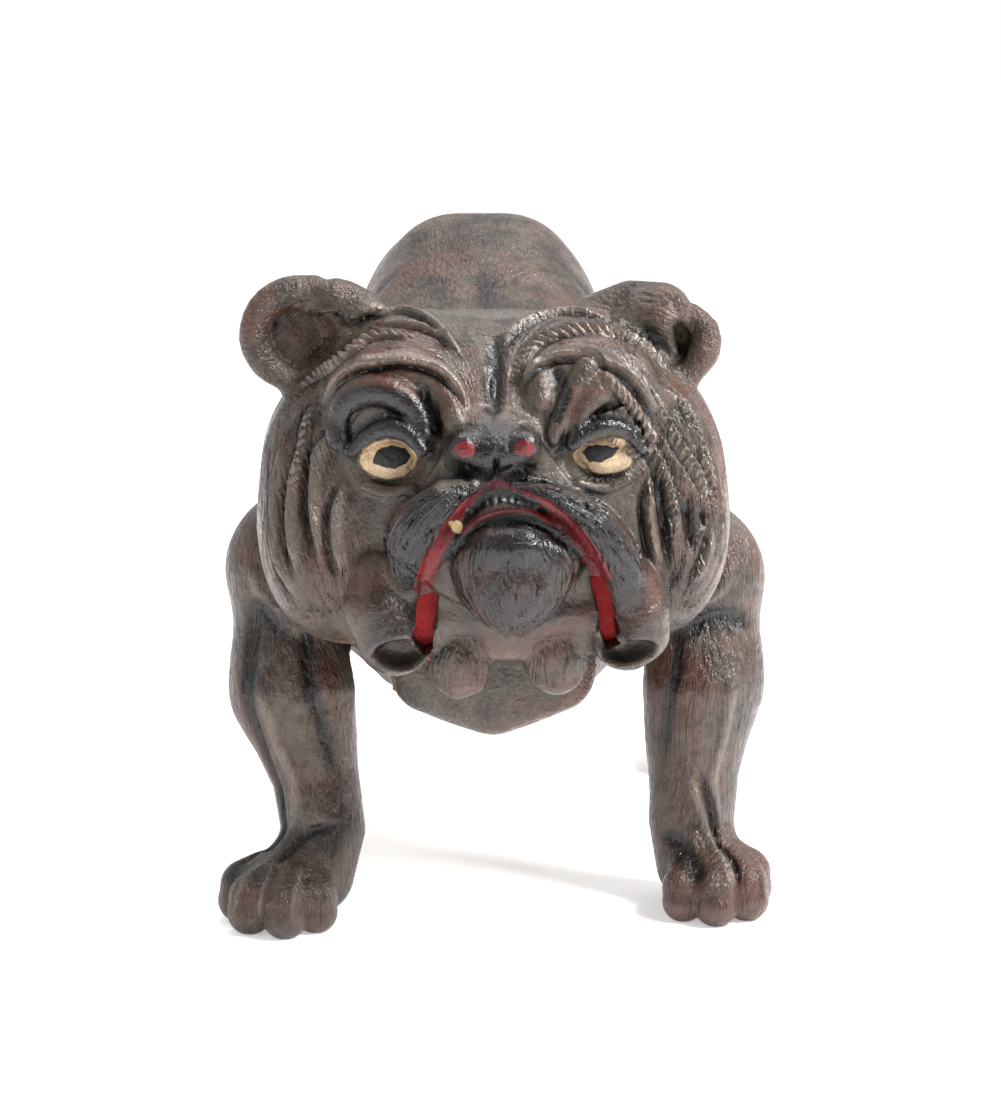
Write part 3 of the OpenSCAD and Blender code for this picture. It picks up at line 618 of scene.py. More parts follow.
# %% Strokes along a line
def along_and_across(v, n, line, reach):
    """Vertices within reach of a line, how far along it they are, and how far to its side."""
    low, high = line.min(0) - reach, line.max(0) + reach
    near = np.flatnonzero(((v > low) & (v < high)).all(axis=1))
    if not len(near):
        return near, np.zeros(0), np.zeros(0), 1.0
    p = v[near]
    pick = np.zeros(len(near), int)
    best = np.full(len(near), 1e9)
    for i, c in enumerate(line):
        d = ((p - c) ** 2).sum(axis=1)
        closer = d < best
        best[closer], pick[closer] = d[closer], i
    tangent = np.gradient(line, axis=0)
    tangent /= np.linalg.norm(tangent, axis=1)[:, None] + 1e-9
    length = np.concatenate([[0], np.cumsum(np.linalg.norm(np.diff(line, axis=0), axis=1))])
    gap = p - line[pick]
    run = (gap * tangent[pick]).sum(axis=1)
    side = np.cross(n[near], tangent[pick])
    across = (gap * side).sum(axis=1) / (np.linalg.norm(side, axis=1) + 1e-9)
    return near, length[pick] + run, across, length[-1]


def stroke(v, n, height, line, wide, high, kind="round", pitch=1.4):
    """Adds a stroke to height. kind is round, rope or fold, and a negative high cuts a groove."""
    near, run, across, total = along_and_across(v, n, line, 2.5 * wide)
    s = across / wide
    ends = np.clip(np.minimum(run, total - run) / (0.25 * total + 0.3) + 0.15, 0, 1)
    if kind == "fold":
        shape = np.where(s > 0, np.exp(-(s / 1.3) ** 2), np.exp(-(s / 0.45) ** 2))
        shape -= 0.6 * np.exp(-((s + 1.0) / 0.5) ** 2)
    else:
        shape = np.exp(-s * s * 1.2)
    if kind == "rope":
        notch = 0.5 + 0.5 * np.cos(2 * np.pi * (run + 0.9 * across) / pitch)
        shape *= 0.35 + 0.65 * notch ** 0.7
        shape -= 0.35 * np.exp(-((np.abs(s) - 1.5) / 0.5) ** 2)
    height[near] += high * shape * ends
    return height


# %% Strokes of the face
ROPES = [
    ([(-30, 86.5), (-26.6, 88.8), (-23.7, 91.1), (-21.5, 92.9), (-19.2, 94.5), (-16.5, 95.3),
      (-14.2, 95.3), (-11.5, 95)], 0.9, 1.22),
    ([(-26.5, 85.3), (-28.1, 82.6), (-28.9, 79.4), (-29.4, 75.8), (-30, 72)], 0.9, 0.94),
    ([(3.4, 91), (5.6, 93.6), (9, 95.2), (12.8, 95.8), (16.6, 95.4), (20.5, 94), (24.4, 91.4),
      (26.8, 88.5)], 1.0, 1.22),
    ([(15.3, 90.5), (17.5, 88.3), (20.6, 84.4), (23, 79.7), (24.9, 75.1), (26.3, 70.7), (26.9, 67.8),
      (26, 64.5)], 0.9, 1.08),
    ([(21.4, 88.8), (23.8, 85.6), (25.9, 81.6), (27.7, 78.4), (29.6, 75.6), (31.2, 72.4),
      (31.8, 69)], 0.9, 1.22),
    ([(24.7, 87.6), (28.3, 84.2), (31.1, 78.9), (32.9, 72.8), (33.5, 68)], 0.9, 0.81),
]
FOLDS = [
    ([(-17.6, 96.1), (-14.2, 96.5), (-10.4, 95.9), (-7.7, 94.6), (-5.4, 92.6)], 0.8, 0.8),
    ([(-22.6, 96.6), (-18.4, 97.9), (-14.3, 98.2), (-10.8, 97.3), (-8.3, 95.6), (-6.2, 93.2)], 0.9, 0.96),
    ([(-25.5, 85.5), (-23.6, 88.8), (-20.9, 90.6), (-18.2, 91.6), (-14.2, 92), (-10.4, 91.4),
      (-7.7, 90.1), (-5.5, 87.6), (-4.1, 84.5)], 0.9, 1.12),
    ([(3.2, 88), (5, 90.5), (8, 91.9), (11.7, 92.4), (15.3, 91.8), (19.1, 89.8), (22.1, 86.5),
      (23.8, 82.6)], 0.9, 1.12),
    ([(0.7, 93.5), (3.1, 95.4), (6.2, 96.8), (10, 97.6), (14.5, 97.3), (18.3, 96)], 0.9, 0.96),
    ([(-24.7, 82), (-26.6, 78.2), (-27.4, 73.7), (-27.4, 68.7), (-26.1, 62.2)], 1.2, 1.12),
    ([(-29.4, 77.9), (-30.6, 72), (-30.9, 66.2), (-29.7, 59.6)], 1.2, 1.12),
    ([(-32, 79), (-33.1, 73), (-33.4, 67.2), (-32.5, 60.7), (-29.5, 55.6)], 1.2, 1.12),
    ([(-22.6, 73.9), (-24.1, 69.6), (-24.1, 64.5), (-22.7, 59.2)], 1.2, 0.96),
    ([(23, 73.8), (22.4, 69.5), (23, 65), (24.2, 61.2)], 1.0, 0.96),
    ([(32.7, 65.6), (31.4, 61.3), (29.2, 57.7)], 1.0, 0.8),
]
GROOVES = [
    ([(0.4, 94.6), (-0.1, 92.0), (-0.5, 88.2), (-0.5, 83.7)], 1.4, -1.0),
    ([(-10.8, 88.3), (-10.2, 85.2), (-9.4, 82.6), (-8.3, 80.6)], 0.6, -1.1),
    ([(23.8, 75.2), (24.5, 70.8), (25.1, 66.4), (25.7, 60.3)], 0.9, -1.1),
    ([(28.4, 70.6), (29.1, 66.8), (29.4, 62.8)], 0.8, -1.2),
    ([(31.3, 69.5), (31.2, 65.9)], 0.6, -0.8),
    ([(-0.3, 79.8), (-0.3, 77.5), (-0.3, 75.4), (-1.2, 74.2)], 0.5, -0.8),
]
LIPS = [
    ([(-1.4, 74.2), (-4.0, 72.4), (-6.2, 69.9), (-7.8, 67.1), (-9.4, 64.3), (-10.5, 61.2),
      (-11.1, 58.8)], 1.3, -1.0),
    ([(-1.4, 74.2), (1.2, 74.2), (4.1, 73.4), (7.1, 71.8), (9.4, 69.7), (11.4, 67.2), (13.3, 64.4),
      (14.9, 61.6), (15.4, 60.2)], 1.3, -1.0),
]
GUM = [(-5.4, 67.4), (-3.4, 69.0), (-0.7, 70.2), (3.1, 70.7), (5.6, 70.2), (8.0, 68.8), (10.1, 67.2)]
TEETH = [(-4.3, 70.5), (-2.3, 71.7), (0.3, 72.4), (3.3, 72.3), (5.6, 71.6), (7.2, 70.4)]
print("strokes:", len(ROPES), "ropes,", len(FOLDS), "folds,", len(GROOVES), "grooves")


# %% Strokes of the legs, in the front view, and of the body, in space and alike on both sides
LEG_STROKES = {
    "front_leg_right": [
        ([(-42, 44.2), (-38.2, 46.4), (-33.8, 45.8), (-30, 43)], 1.5, -0.9),
        ([(-28, 50), (-29.4, 40), (-27, 31), (-25, 22)], 1.3, -0.6),
        ([(-37, 39), (-34.6, 29), (-31.4, 20), (-33, 13)], 1.3, 0.6),
        ([(-35, 15.2), (-30, 13.8), (-24.5, 15.4)], 0.9, -0.7),
        ([(-38.6, 57), (-36.4, 51), (-31.6, 48)], 1.2, 0.5),
        ([(-36.8, 10.2), (-39.8, 7.6), (-40.8, 3.4)], 0.5, 0.5),
        ([(-34.4, 10.6), (-36.4, 7.4), (-37.2, 3)], 0.5, 0.5),
        ([(-30.6, 10.6), (-31.6, 7), (-31.8, 2.6)], 0.5, 0.5),
    ],
    "front_leg_left": [
        ([(42, 45.2), (38.4, 47.6), (33.6, 46.8), (30, 44)], 1.5, -0.9),
        ([(28.4, 50), (29.6, 40), (28, 31), (27.6, 22)], 1.3, -0.6),
        ([(38.4, 39), (37.4, 29), (35.6, 21), (37.4, 12)], 1.0, 0.7),
        ([(31.2, 24), (33.4, 17), (36.2, 10), (37, 5)], 0.8, 0.8),
        ([(33.4, 23), (35.4, 16), (38.4, 9), (38.8, 4)], 0.6, -0.8),
        ([(27, 12.6), (30.4, 10.6), (33, 7)], 1.5, -0.8),
        ([(40.8, 10), (42.8, 7), (43.4, 3)], 0.5, 0.5),
        ([(39, 57), (37, 52), (32.4, 49)], 1.2, 0.5),
    ],
}
BODY_STROKES = [
    ([(6, -22, 91), (20, -21, 84), (30, -18, 68), (28, -17, 50)], 1.3, -0.7),
    ([(4, -27, 92), (22, -26, 86), (33, -24, 72), (31, -22, 56)], 1.1, -0.6),
    ([(19, -5, 87), (30, -4, 76), (34, -6, 62), (31, -12, 47)], 1.6, -0.6),
    ([(28, 4, 76), (33, 4, 62), (28, 1, 44)], 1.5, -0.3),
    ([(27, 10, 78), (31, 10, 64), (27, 8, 46)], 1.5, -0.3),
    ([(15, 24, 99), (24, 26, 86), (26, 24, 70), (22, 22, 54)], 1.8, -0.8),
    ([(12, 54, 98), (18, 62, 84), (16, 68, 68)], 1.8, -0.5),
    ([(0, -4, 91), (0, 10, 92), (0, 22, 97)], 2.0, -0.4),
    ([(0, 73, 72), (0, 71, 60), (0, 66, 50)], 1.6, -1.0),
]


def stroke_lines(field, strokes):
    return [(smooth_line(on_front(field, line)), wide, high) for line, wide, high in strokes]


def onto(field, points):
    """Points moved to the nearest skin."""
    p = np.array(points, float)
    return settle(field, p, rounds=12)


def body_relief(v, n, field):
    height = np.zeros(len(v))
    for points, wide, high in BODY_STROKES:
        for side in (1, -1) if points[0][0] else (1,):
            line = smooth_line(onto(field, [(side * x, y, z) for x, y, z in points]), 0.6)
            stroke(v, n, height, line, wide, high)
    return height


def leg_relief(strokes):
    def relief(v, n, field):
        height = np.zeros(len(v))
        for line, wide, high in stroke_lines(field, strokes):
            stroke(v, n, height, line, wide, high)
        return height
    return relief


def face_relief(v, n, field):
    height = np.zeros(len(v))
    for line, wide, high in stroke_lines(field, ROPES):
        stroke(v, n, height, line, wide, high, "rope")
    for line, wide, high in stroke_lines(field, FOLDS):
        stroke(v, n, height, line, wide, high, "fold")
    for line, wide, high in stroke_lines(field, GROOVES + LIPS):
        stroke(v, n, height, line, wide, high)
    stroke(v, n, height, smooth_line(on_front(field, GUM)), 0.5, 0.5)
    teeth = smooth_line(on_front(field, TEETH))
    near, run, across, total = along_and_across(v, n, teeth, 2.0)
    row = np.exp(-(across / 0.9) ** 4) * ((run > 0) & (run < total))
    height[near] += row * (0.45 * np.abs(np.cos(np.pi * run / 1.35)) ** 0.5 - 0.75)
    return height


# %% [markdown]
# ## Combed hair
# The short coat is cut into the model as fine strokes that run with the hair. Each region has a line
# down either side. A vertex between them learns how far along and how far across it is, and both the
# coarse streaks in the mesh and the fine ones in the material's bump follow those two numbers.

# %% Regions of hair: two border lines in the front view, and the depth of the streaks
COMBS = [
    # flews, from beside the nose to the corners of the mouth
    ([(-9, 74.8), (-12.9, 72.6), (-15.4, 70.3), (-16.8, 67.5), (-16.8, 64), (-16, 60), (-14.6, 57.6)],
     [(-3, 74), (-5.9, 71.2), (-7.6, 69), (-9, 66.6), (-10.4, 64.2), (-11.4, 60.8), (-11.6, 58)], 0.16),
    ([(3, 75.6), (7.8, 74.6), (12.4, 73.2), (16.2, 70.6), (19, 67.5), (21.4, 64), (22.4, 59.6)],
     [(1, 74), (6, 72.6), (9.2, 70.2), (12, 67.6), (14, 64.2), (15.6, 60.6), (17.6, 58)], 0.18),
    # chin, down to its point
    ([(-5.6, 67), (-6.9, 63.6), (-6.6, 59.6), (-4, 55.6), (0.6, 51.6)],
     [(10.4, 67), (11.9, 63), (11.6, 59), (9, 55.2), (4.2, 51.6)], 0.13),
    # throat lobes, as fans
    ([(-7, 50.6), (-9.8, 47), (-10.2, 42.6)], [(-2, 50.6), (-0.6, 47), (-1, 42)], 0.14),
    ([(6, 50.4), (4.6, 46.6), (5.2, 41.8)], [(11, 50.6), (13.6, 47), (14, 42.4)], 0.16),
    # forehead, each side of the furrow
    ([(-3.6, 84), (-5, 88), (-8, 91.8), (-14.2, 93.4), (-20, 92), (-25, 88.4)],
     [(-1.6, 86), (-2.4, 92), (-6, 97.6), (-14, 99.6), (-22, 98), (-29.6, 90)], 0.1),
    ([(3, 84), (4.4, 89), (8, 93.2), (13, 94), (18.6, 92.4), (24.6, 86.8)],
     [(1, 86), (2, 93), (5.6, 98), (13, 99.6), (20, 98), (28.6, 88)], 0.1),
    # cheeks, in arcs from the ear to the jowl
    ([(-24.6, 86.6), (-24.8, 80), (-22, 72), (-19.6, 66), (-20.4, 59), (-22, 54)],
     [(-31, 86), (-34, 79), (-35.4, 71), (-35, 63), (-32, 55), (-27, 50)], 0.13),
    ([(22.4, 86), (23.4, 80), (21.4, 73), (22.4, 66), (24.4, 60), (26, 53)],
     [(28.6, 86), (33, 79), (35.4, 71), (35.6, 64), (33.6, 57), (30, 51.6)], 0.15),
    # ears
    ([(-24, 100), (-30, 99.4), (-35.5, 93)], [(-21, 93), (-26, 90), (-30, 87)], 0.14),
    ([(16, 97), (22, 102), (30, 99.6)], [(20, 91), (25, 93), (29, 91)], 0.12),
]


def comb_hair(v, n, combs):
    hair = {name: np.zeros(len(v)) for name in ("hair", "hair_u", "hair_v")}
    front = np.flatnonzero((n[:, 1] < 0.2) & (v[:, 1] < -36))
    if not len(front):
        return hair
    p = v[front][:, [0, 2]]
    best = np.full(len(p), 1.0)
    for number, (outer, inner, depth) in enumerate(combs):
        a, b = (smooth_line([(x, 0, z) for x, z in line], 0.4)[:, [0, 2]] for line in (outer, inner))
        rungs = 24
        a, b = (line[np.linspace(0, len(line) - 1, rungs).round().astype(int)] for line in (a, b))
        long = np.linalg.norm(np.diff((a + b) / 2, axis=0), axis=1).sum()
        wide = np.linalg.norm(a - b, axis=1).mean()
        for i in range(rungs - 1):
            # the cell between two rungs, as along and across shares
            middle, along = (a[i] + b[i]) / 2, (a[i + 1] + b[i + 1] - a[i] - b[i]) / 2
            across = (b[i] + b[i + 1] - a[i] - a[i + 1]) / 2
            cross = along[0] * across[1] - along[1] * across[0]
            q = p - middle
            u = (q[:, 0] * across[1] - q[:, 1] * across[0]) / cross
            w = (along[0] * q[:, 1] - along[1] * q[:, 0]) / cross
            width = np.linalg.norm(b[i] - a[i]) * (1 - u) + np.linalg.norm(b[i + 1] - a[i + 1]) * u
            w = w * np.linalg.norm(across) / np.maximum(width, 0.1)
            outside = np.maximum(np.maximum(-u, u - 1) * 2, np.abs(w) - 0.5)
            closer = (outside < best * 0.999) & (outside < 0.12)
            here = front[closer]
            best[closer] = outside[closer]
            t = (i + np.clip(u[closer], 0, 1)) / (rungs - 1)
            edge = np.clip((0.56 - np.abs(w[closer])) / 0.12, 0, 1)
            hair["hair"][here] = depth / 0.16 * edge * np.clip(np.minimum(t, 1 - t) / 0.06, 0, 1)
            hair["hair_u"][here] = t * long + 100 * number
            hair["hair_v"][here] = w[closer] * wide
    return hair


def streaks(u, v):
    """Height of the coarse streaks, in millimetres: ridges that wander and fade along their length."""
    sway = 0.5 * np.sin(0.45 * u) + 0.3 * np.sin(1.1 * u + 2 * v) + 0.2 * np.sin(0.23 * u + 0.9 * v)
    fade = 0.6 + 0.4 * np.sin(0.8 * u + 1.9 * np.sin(1.3 * v) + 3 * v)
    wave = np.sin(2 * np.pi * (v + 0.5 * sway) / 1.05)
    return 0.2 * fade * (1 - 2 * np.abs(wave) ** 0.8)


# %% [markdown]
# ## Marks for the painter
# The paint is brushed on along the modelled edges. Each vertex carries its distance to the
# outline of every painted spot, and the material turns that into a crisp edge at any zoom.

# %% Painted outlines
EYES = [
    [(-20.7, 77.2), (-19.9, 79), (-18.2, 80.3), (-16.1, 80.8), (-13.9, 80.4), (-12.2, 79.2),
      (-11.5, 77.6), (-12, 75.9),
     (-13.7, 74.6), (-16.1, 74.1), (-18.4, 74.6), (-20, 75.8)],
    [(11.0, 77.8), (12.3, 79.8), (15.5, 80.7), (18.8, 80.7), (19.6, 79.2), (20.5, 76.8), (19.9, 75.8),
      (18.2, 75),
     (15.5, 74.8), (13, 75.4), (11.6, 76.5)],
]
PUPILS = [
    [(-18.2, 78.1), (-17.2, 79.1), (-15.3, 79.5), (-13.6, 79.1), (-12.7, 78), (-13.4, 76.7), (-15.2, 76),
      (-17, 76.3),
     (-18.3, 76.9)],
    [(12.7, 78.3), (13.5, 79.3), (15.3, 79.5), (18.2, 78.9), (17.1, 77.6), (15.4, 76.8), (13.6, 77)],
]
BLACKS = [
    ([(-9.5, 74.6), (-12.9, 72.6), (-15, 70.3), (-16.3, 67.9), (-16.5, 64), (-15.6, 60), (-14, 57.8),
      (-11.3, 58.2),
      (-10.4, 64.6), (-8.7, 67.2), (-5.6, 71.8), (-2.4, 74.4), (-5, 75.4)], 1.6, 1.0),
    ([(2.6, 75.6), (7.8, 74.4), (12.2, 73.1), (16, 70.5), (18.7, 67.5), (21, 64), (21.8, 60.5),
      (17.8, 58.6), (15.8, 60.4),
      (13.8, 65.2), (11.8, 68.4), (8.8, 70.9), (5.8, 73), (1.6, 74)], 1.4, 1.0),
    ([(-5.4, 66.6), (-3, 68.4), (0, 69.6), (3.2, 70), (6, 69.4), (9.4, 66.8), (10, 63.4), (5, 62.5),
      (-1, 62.5),
      (-5, 61.5)], 2.0, 1.0),
    ([(-7.6, 78.4), (-7.6, 81.4), (-4.4, 83), (4.4, 83), (7, 80.6), (6, 78), (1, 75.4),
      (-1.4, 75.4)], 1.4, 1.0),
    ([(-37, 101), (-30, 104), (-33.4, 99), (-35.8, 94), (-34, 87), (-40, 88), (-42, 95)], 1.8, 1.0),
    ([(21, 101), (27, 97), (32, 92), (31, 87), (28, 90), (24, 94)], 1.6, 1.0),
    # the lower jaw, the cups, the throat and the skin under the eyes are only darkened
    ([(-9, 62), (-6, 67), (2, 69.5), (10, 67), (13.6, 61), (12, 54), (4, 50), (-5, 52)], 3.0, 0.62),
    ([(-20, 62), (-12, 60), (-8, 48), (-14, 43), (-21, 48)], 2.5, 0.55),
    ([(16, 62), (23, 62), (26, 52), (22, 43), (13, 46)], 2.5, 0.55),
    ([(-24, 76), (-20, 70), (-12, 71), (-8, 76), (-12, 72.6), (-20, 72)], 2.0, 0.6),
    ([(9, 77), (12, 73), (20, 72.6), (24, 78), (20, 72), (12, 71)], 2.0, 0.6),
]
BLACK_LINES = [
    ([(-23.4, 80), (-22.6, 84.4), (-20.4, 86.6), (-17.4, 86.8), (-14.0, 85.4), (-11.4, 82.6)], 1.9, 0.9),
    ([(-21.2, 79), (-19.2, 81.2), (-16.0, 82.2), (-13.0, 81.6), (-11.0, 79.6)], 1.5, 0.6),
    ([(-11.2, 88.4), (-10.4, 85.6), (-9.0, 82.2)], 0.9, 0.7),
    ([(11.2, 80.4), (13.2, 82.2), (16.4, 83.2), (19.6, 82.4), (21.8, 79.6)], 1.6, 0.7),
    ([(9.2, 90), (10.2, 87.4), (9.0, 83.8)], 0.8, 0.6),
    ([(-16.4, 98.4), (-10, 97.2), (-5.6, 93.6)], 0.5, 0.5),
]


def soft_spot(x, z, outline, edge):
    return np.clip(0.5 - outline_distance(x, z, outline) / (2 * edge), 0, 1)


def line_distance(x, z, points):
    line = smooth_line([(px, 0, pz) for px, pz in points], 0.25)
    best = np.full(len(x), 1e9)
    for cx, _, cz in line:
        np.minimum(best, (x - cx) ** 2 + (z - cz) ** 2, out=best)
    return np.sqrt(best)


def face_marks(v, n):
    """Distances to the painted outlines, for vertices that face the front."""
    front = np.flatnonzero((n[:, 1] < 0.35) & (v[:, 1] < -50) & (v[:, 2] > 40))
    x, z = v[front, 0], v[front, 2]
    marks = {name: np.full(len(v), 9.0) for name in ("eye", "pupil", "lip", "tooth")}
    marks["black"] = np.zeros(len(v))
    marks["eye"][front] = np.minimum.reduce([outline_distance(x, z, o) for o in EYES])
    marks["pupil"][front] = np.minimum.reduce([outline_distance(x, z, o) for o in PUPILS])
    # the red of the lips widens towards the corners of the mouth
    width = 0.45 + 0.85 * np.clip((73.5 - z) / 6, 0, 1)
    lips = [line_distance(x, z, line) - width for line, _, _ in LIPS]
    lips.append(line_distance(x, z, GUM) - 0.4)
    lips += [np.hypot((x - cx) / 1.5, (z - cz) / 1.2) - 1 for cx, cz in ((-4.9, 79.9), (3.9, 80.1))]
    marks["lip"][front] = np.minimum.reduce(lips)
    marks["tooth"][front] = np.hypot((x + 6.0) / 0.75, (z - 68.2) / 1.0) - 1
    spots = [weight * soft_spot(x, z, o, e) for o, e, weight in BLACKS]
    spots += [np.clip(0.5 - (line_distance(x, z, line) - half) / (2 * e), 0, 1)
        for line, half, e in BLACK_LINES]
    marks["black"][front] = np.maximum.reduce(spots)
    return marks


# %% Creases, hollows and rims
def reach(field, v, n, far):
    """How much closer than far the skin is, seen from a point far off it along the normal. 0 is open."""
    return np.clip(1 - np.abs(field(v + n * far)) / abs(far), 0, 1)


def shape_marks(field, v, n):
    depths = {"crease": 1.2, "shade": 5.0, "rim": -0.9}
    return {mark: reach(field, v, n, far) for mark, far in depths.items()}


# %% A mesh object with its marks
def sharp_edges(mesh, v, t, flat, limit=55):
    e = np.concatenate([t[:, [0, 1]], t[:, [1, 2]], t[:, [2, 0]]])
    key = np.sort(e, axis=1) @ np.array([len(v), 1])
    face = np.tile(np.arange(len(t)), 3)
    order = np.argsort(key, kind="stable")
    key, face = key[order], face[order]
    same = np.flatnonzero(key[1:] == key[:-1])
    unit = flat / np.maximum(np.linalg.norm(flat, axis=1), 1e-12)[:, None]
    turn = (unit[face[same]] * unit[face[same + 1]]).sum(axis=1)
    sharp = np.sort(key[same][turn < math.cos(math.radians(limit))])
    pair = np.zeros(2 * len(mesh.edges), np.int32)
    mesh.edges.foreach_get("vertices", pair)
    edge_key = np.sort(pair.reshape(-1, 2).astype(np.int64), axis=1) @ np.array([len(v), 1])
    mesh.attributes.new("sharp_edge", "BOOLEAN", "EDGE").data.foreach_set("value", np.isin(edge_key, sharp))


def mesh_piece(name, v, t, flat, marks):
    mesh = bpy.data.meshes.new(name)
    mesh.vertices.add(len(v))
    mesh.vertices.foreach_set("co", (v * MM).ravel().astype(np.float32))
    mesh.loops.add(3 * len(t))
    mesh.loops.foreach_set("vertex_index", t.ravel().astype(np.int32))
    mesh.polygons.add(len(t))
    mesh.polygons.foreach_set("loop_start", np.arange(0, 3 * len(t), 3, dtype=np.int32))
    mesh.update(calc_edges=True)
    mesh.polygons.foreach_set("use_smooth", np.ones(len(t), bool))
    sharp_edges(mesh, v, t, flat)
    for mark, values in marks.items():
        mesh.attributes.new(mark, "FLOAT", "POINT").data.foreach_set("value", values.astype(np.float32))
    mesh.validate()
    piece = bpy.data.objects.new(name, mesh)
    bpy.context.scene.collection.objects.link(piece)
    return piece


# %% [markdown]
# ## Paint and patina
# The metal is bronzed: a dark brown lacquer that is redder where it is thin, greenish and dusty in
# the hollows and worn to grey metal on the crests. The hollows and creases are darkened as painted
# shade together with dark patina and wax, and the crests carry painted highlights along with the wear.
# Black gloss covers the flews, lids and nose.
# The shared effects are node groups, and each finish places them with its own values.

# %% A small helper for node trees
class Tree:
    def __init__(self, tree):
        self.tree = tree

    def node(self, kind, inputs=(), **settings):
        node = self.tree.nodes.new(kind)
        for key, value in settings.items():
            setattr(node, key, value)
        for key, value in dict(inputs).items():
            socket = node.inputs[key]
            if isinstance(value, bpy.types.NodeSocket):
                self.tree.links.new(value, socket)
            else:
                socket.default_value = value
        return node

    def math(self, operation, a, b=0.0, clamp=False):
        return self.node("ShaderNodeMath", {0: a, 1: b}, operation=operation, use_clamp=clamp).outputs[0]

    def ramp(self, value, low, high, out_low=0.0, out_high=1.0):
        node = self.node("ShaderNodeMapRange", {"Value": value, "From Min": low, "From Max": high,
            "To Min": out_low, "To Max": out_high}, interpolation_type="SMOOTHSTEP")
        return node.outputs["Result"]

    def mix(self, factor, a, b):
        node = self.node("ShaderNodeMix", data_type="RGBA")
        for index, value in ((0, factor), (6, a), (7, b)):
            if isinstance(value, bpy.types.NodeSocket):
                self.tree.links.new(value, node.inputs[index])
            else:
                node.inputs[index].default_value = value
        return node.outputs[2]

    def noise(self, where, scale, detail=3.0, rough=0.55, distortion=0.0):
        node = self.node("ShaderNodeTexNoise", {"Vector": where, "Scale": scale, "Detail": detail,
            "Roughness": rough, "Distortion": distortion})
        return node.outputs["Fac"]

    def mark(self, name):
        return self.node("ShaderNodeAttribute", attribute_name=name).outputs["Fac"]

    def place(self):
        return self.node("ShaderNodeTexCoord").outputs["Object"]


def rgb(red, green, blue):
    """An sRGB colour of 0 to 255 as the linear colour that a socket takes."""
    parts = [c / 255 for c in (red, green, blue)]
    return tuple(c / 12.92 if c <= 0.04045 else ((c + 0.055) / 1.055) ** 2.4 for c in parts) + (1.0,)


def new_material(name):
    material = bpy.data.materials.new(name)
    material.use_nodes = True
    tree = Tree(material.node_tree)
    return material, tree, material.node_tree.nodes["Principled BSDF"]


# %% Shared effects
def new_group(name, inputs, outputs):
    tree = bpy.data.node_groups.new(name, "ShaderNodeTree")
    for label, kind, value in inputs:
        socket = tree.interface.new_socket(label, in_out="INPUT", socket_type=kind)
        if value is not None:
            socket.default_value = value
    for label, kind in outputs:
        tree.interface.new_socket(label, in_out="OUTPUT", socket_type=kind)
    t = Tree(tree)
    return tree, t, t.node("NodeGroupInput").outputs, t.node("NodeGroupOutput").inputs


# a mask for rubbed crests and rims, which also carries painted highlights
def make_rubbed_edge_glint():
    tree, t, given, result = new_group("rubbed_edge_glint", [("Height", "NodeSocketFloat", 0.0),
        ("From", "NodeSocketFloat", 0.02), ("To", "NodeSocketFloat", 0.08),
        ("Break Up", "NodeSocketFloat", 1.0)],
        [("Mask", "NodeSocketFloat")])
    grain = t.noise(t.place(), 900.0, 4.0, 0.7)
    lifted = t.math("ADD", given["Height"], t.math("MULTIPLY", t.math("SUBTRACT", grain, 0.5),
        t.math("MULTIPLY", given["Break Up"], 0.12)))
    node = t.node("ShaderNodeMapRange", {"Value": lifted, "From Min": given["From"], "From Max": given["To"]},
        interpolation_type="SMOOTHSTEP")
    tree.links.new(node.outputs["Result"], result["Mask"])
    return tree


def make_settled_dust():
    tree, t, given, result = new_group("settled_dust", [("Depth", "NodeSocketFloat", 0.0),
        ("Amount", "NodeSocketFloat", 0.5), ("Speckle", "NodeSocketFloat", 1500.0)],
        [("Mask", "NodeSocketFloat")])
    speck = t.node("ShaderNodeTexNoise", {"Vector": t.place(), "Scale": given["Speckle"], "Detail": 3.0,
        "Roughness": 0.7}).outputs["Fac"]
    level = t.math("ADD", given["Depth"], t.math("MULTIPLY", t.math("SUBTRACT", speck, 0.5), 1.6))
    tree.links.new(t.math("MULTIPLY", t.ramp(level, 0.1, 0.7), given["Amount"]), result["Mask"])
    return tree


rubbed_edge_glint = make_rubbed_edge_glint()
settled_dust = make_settled_dust()


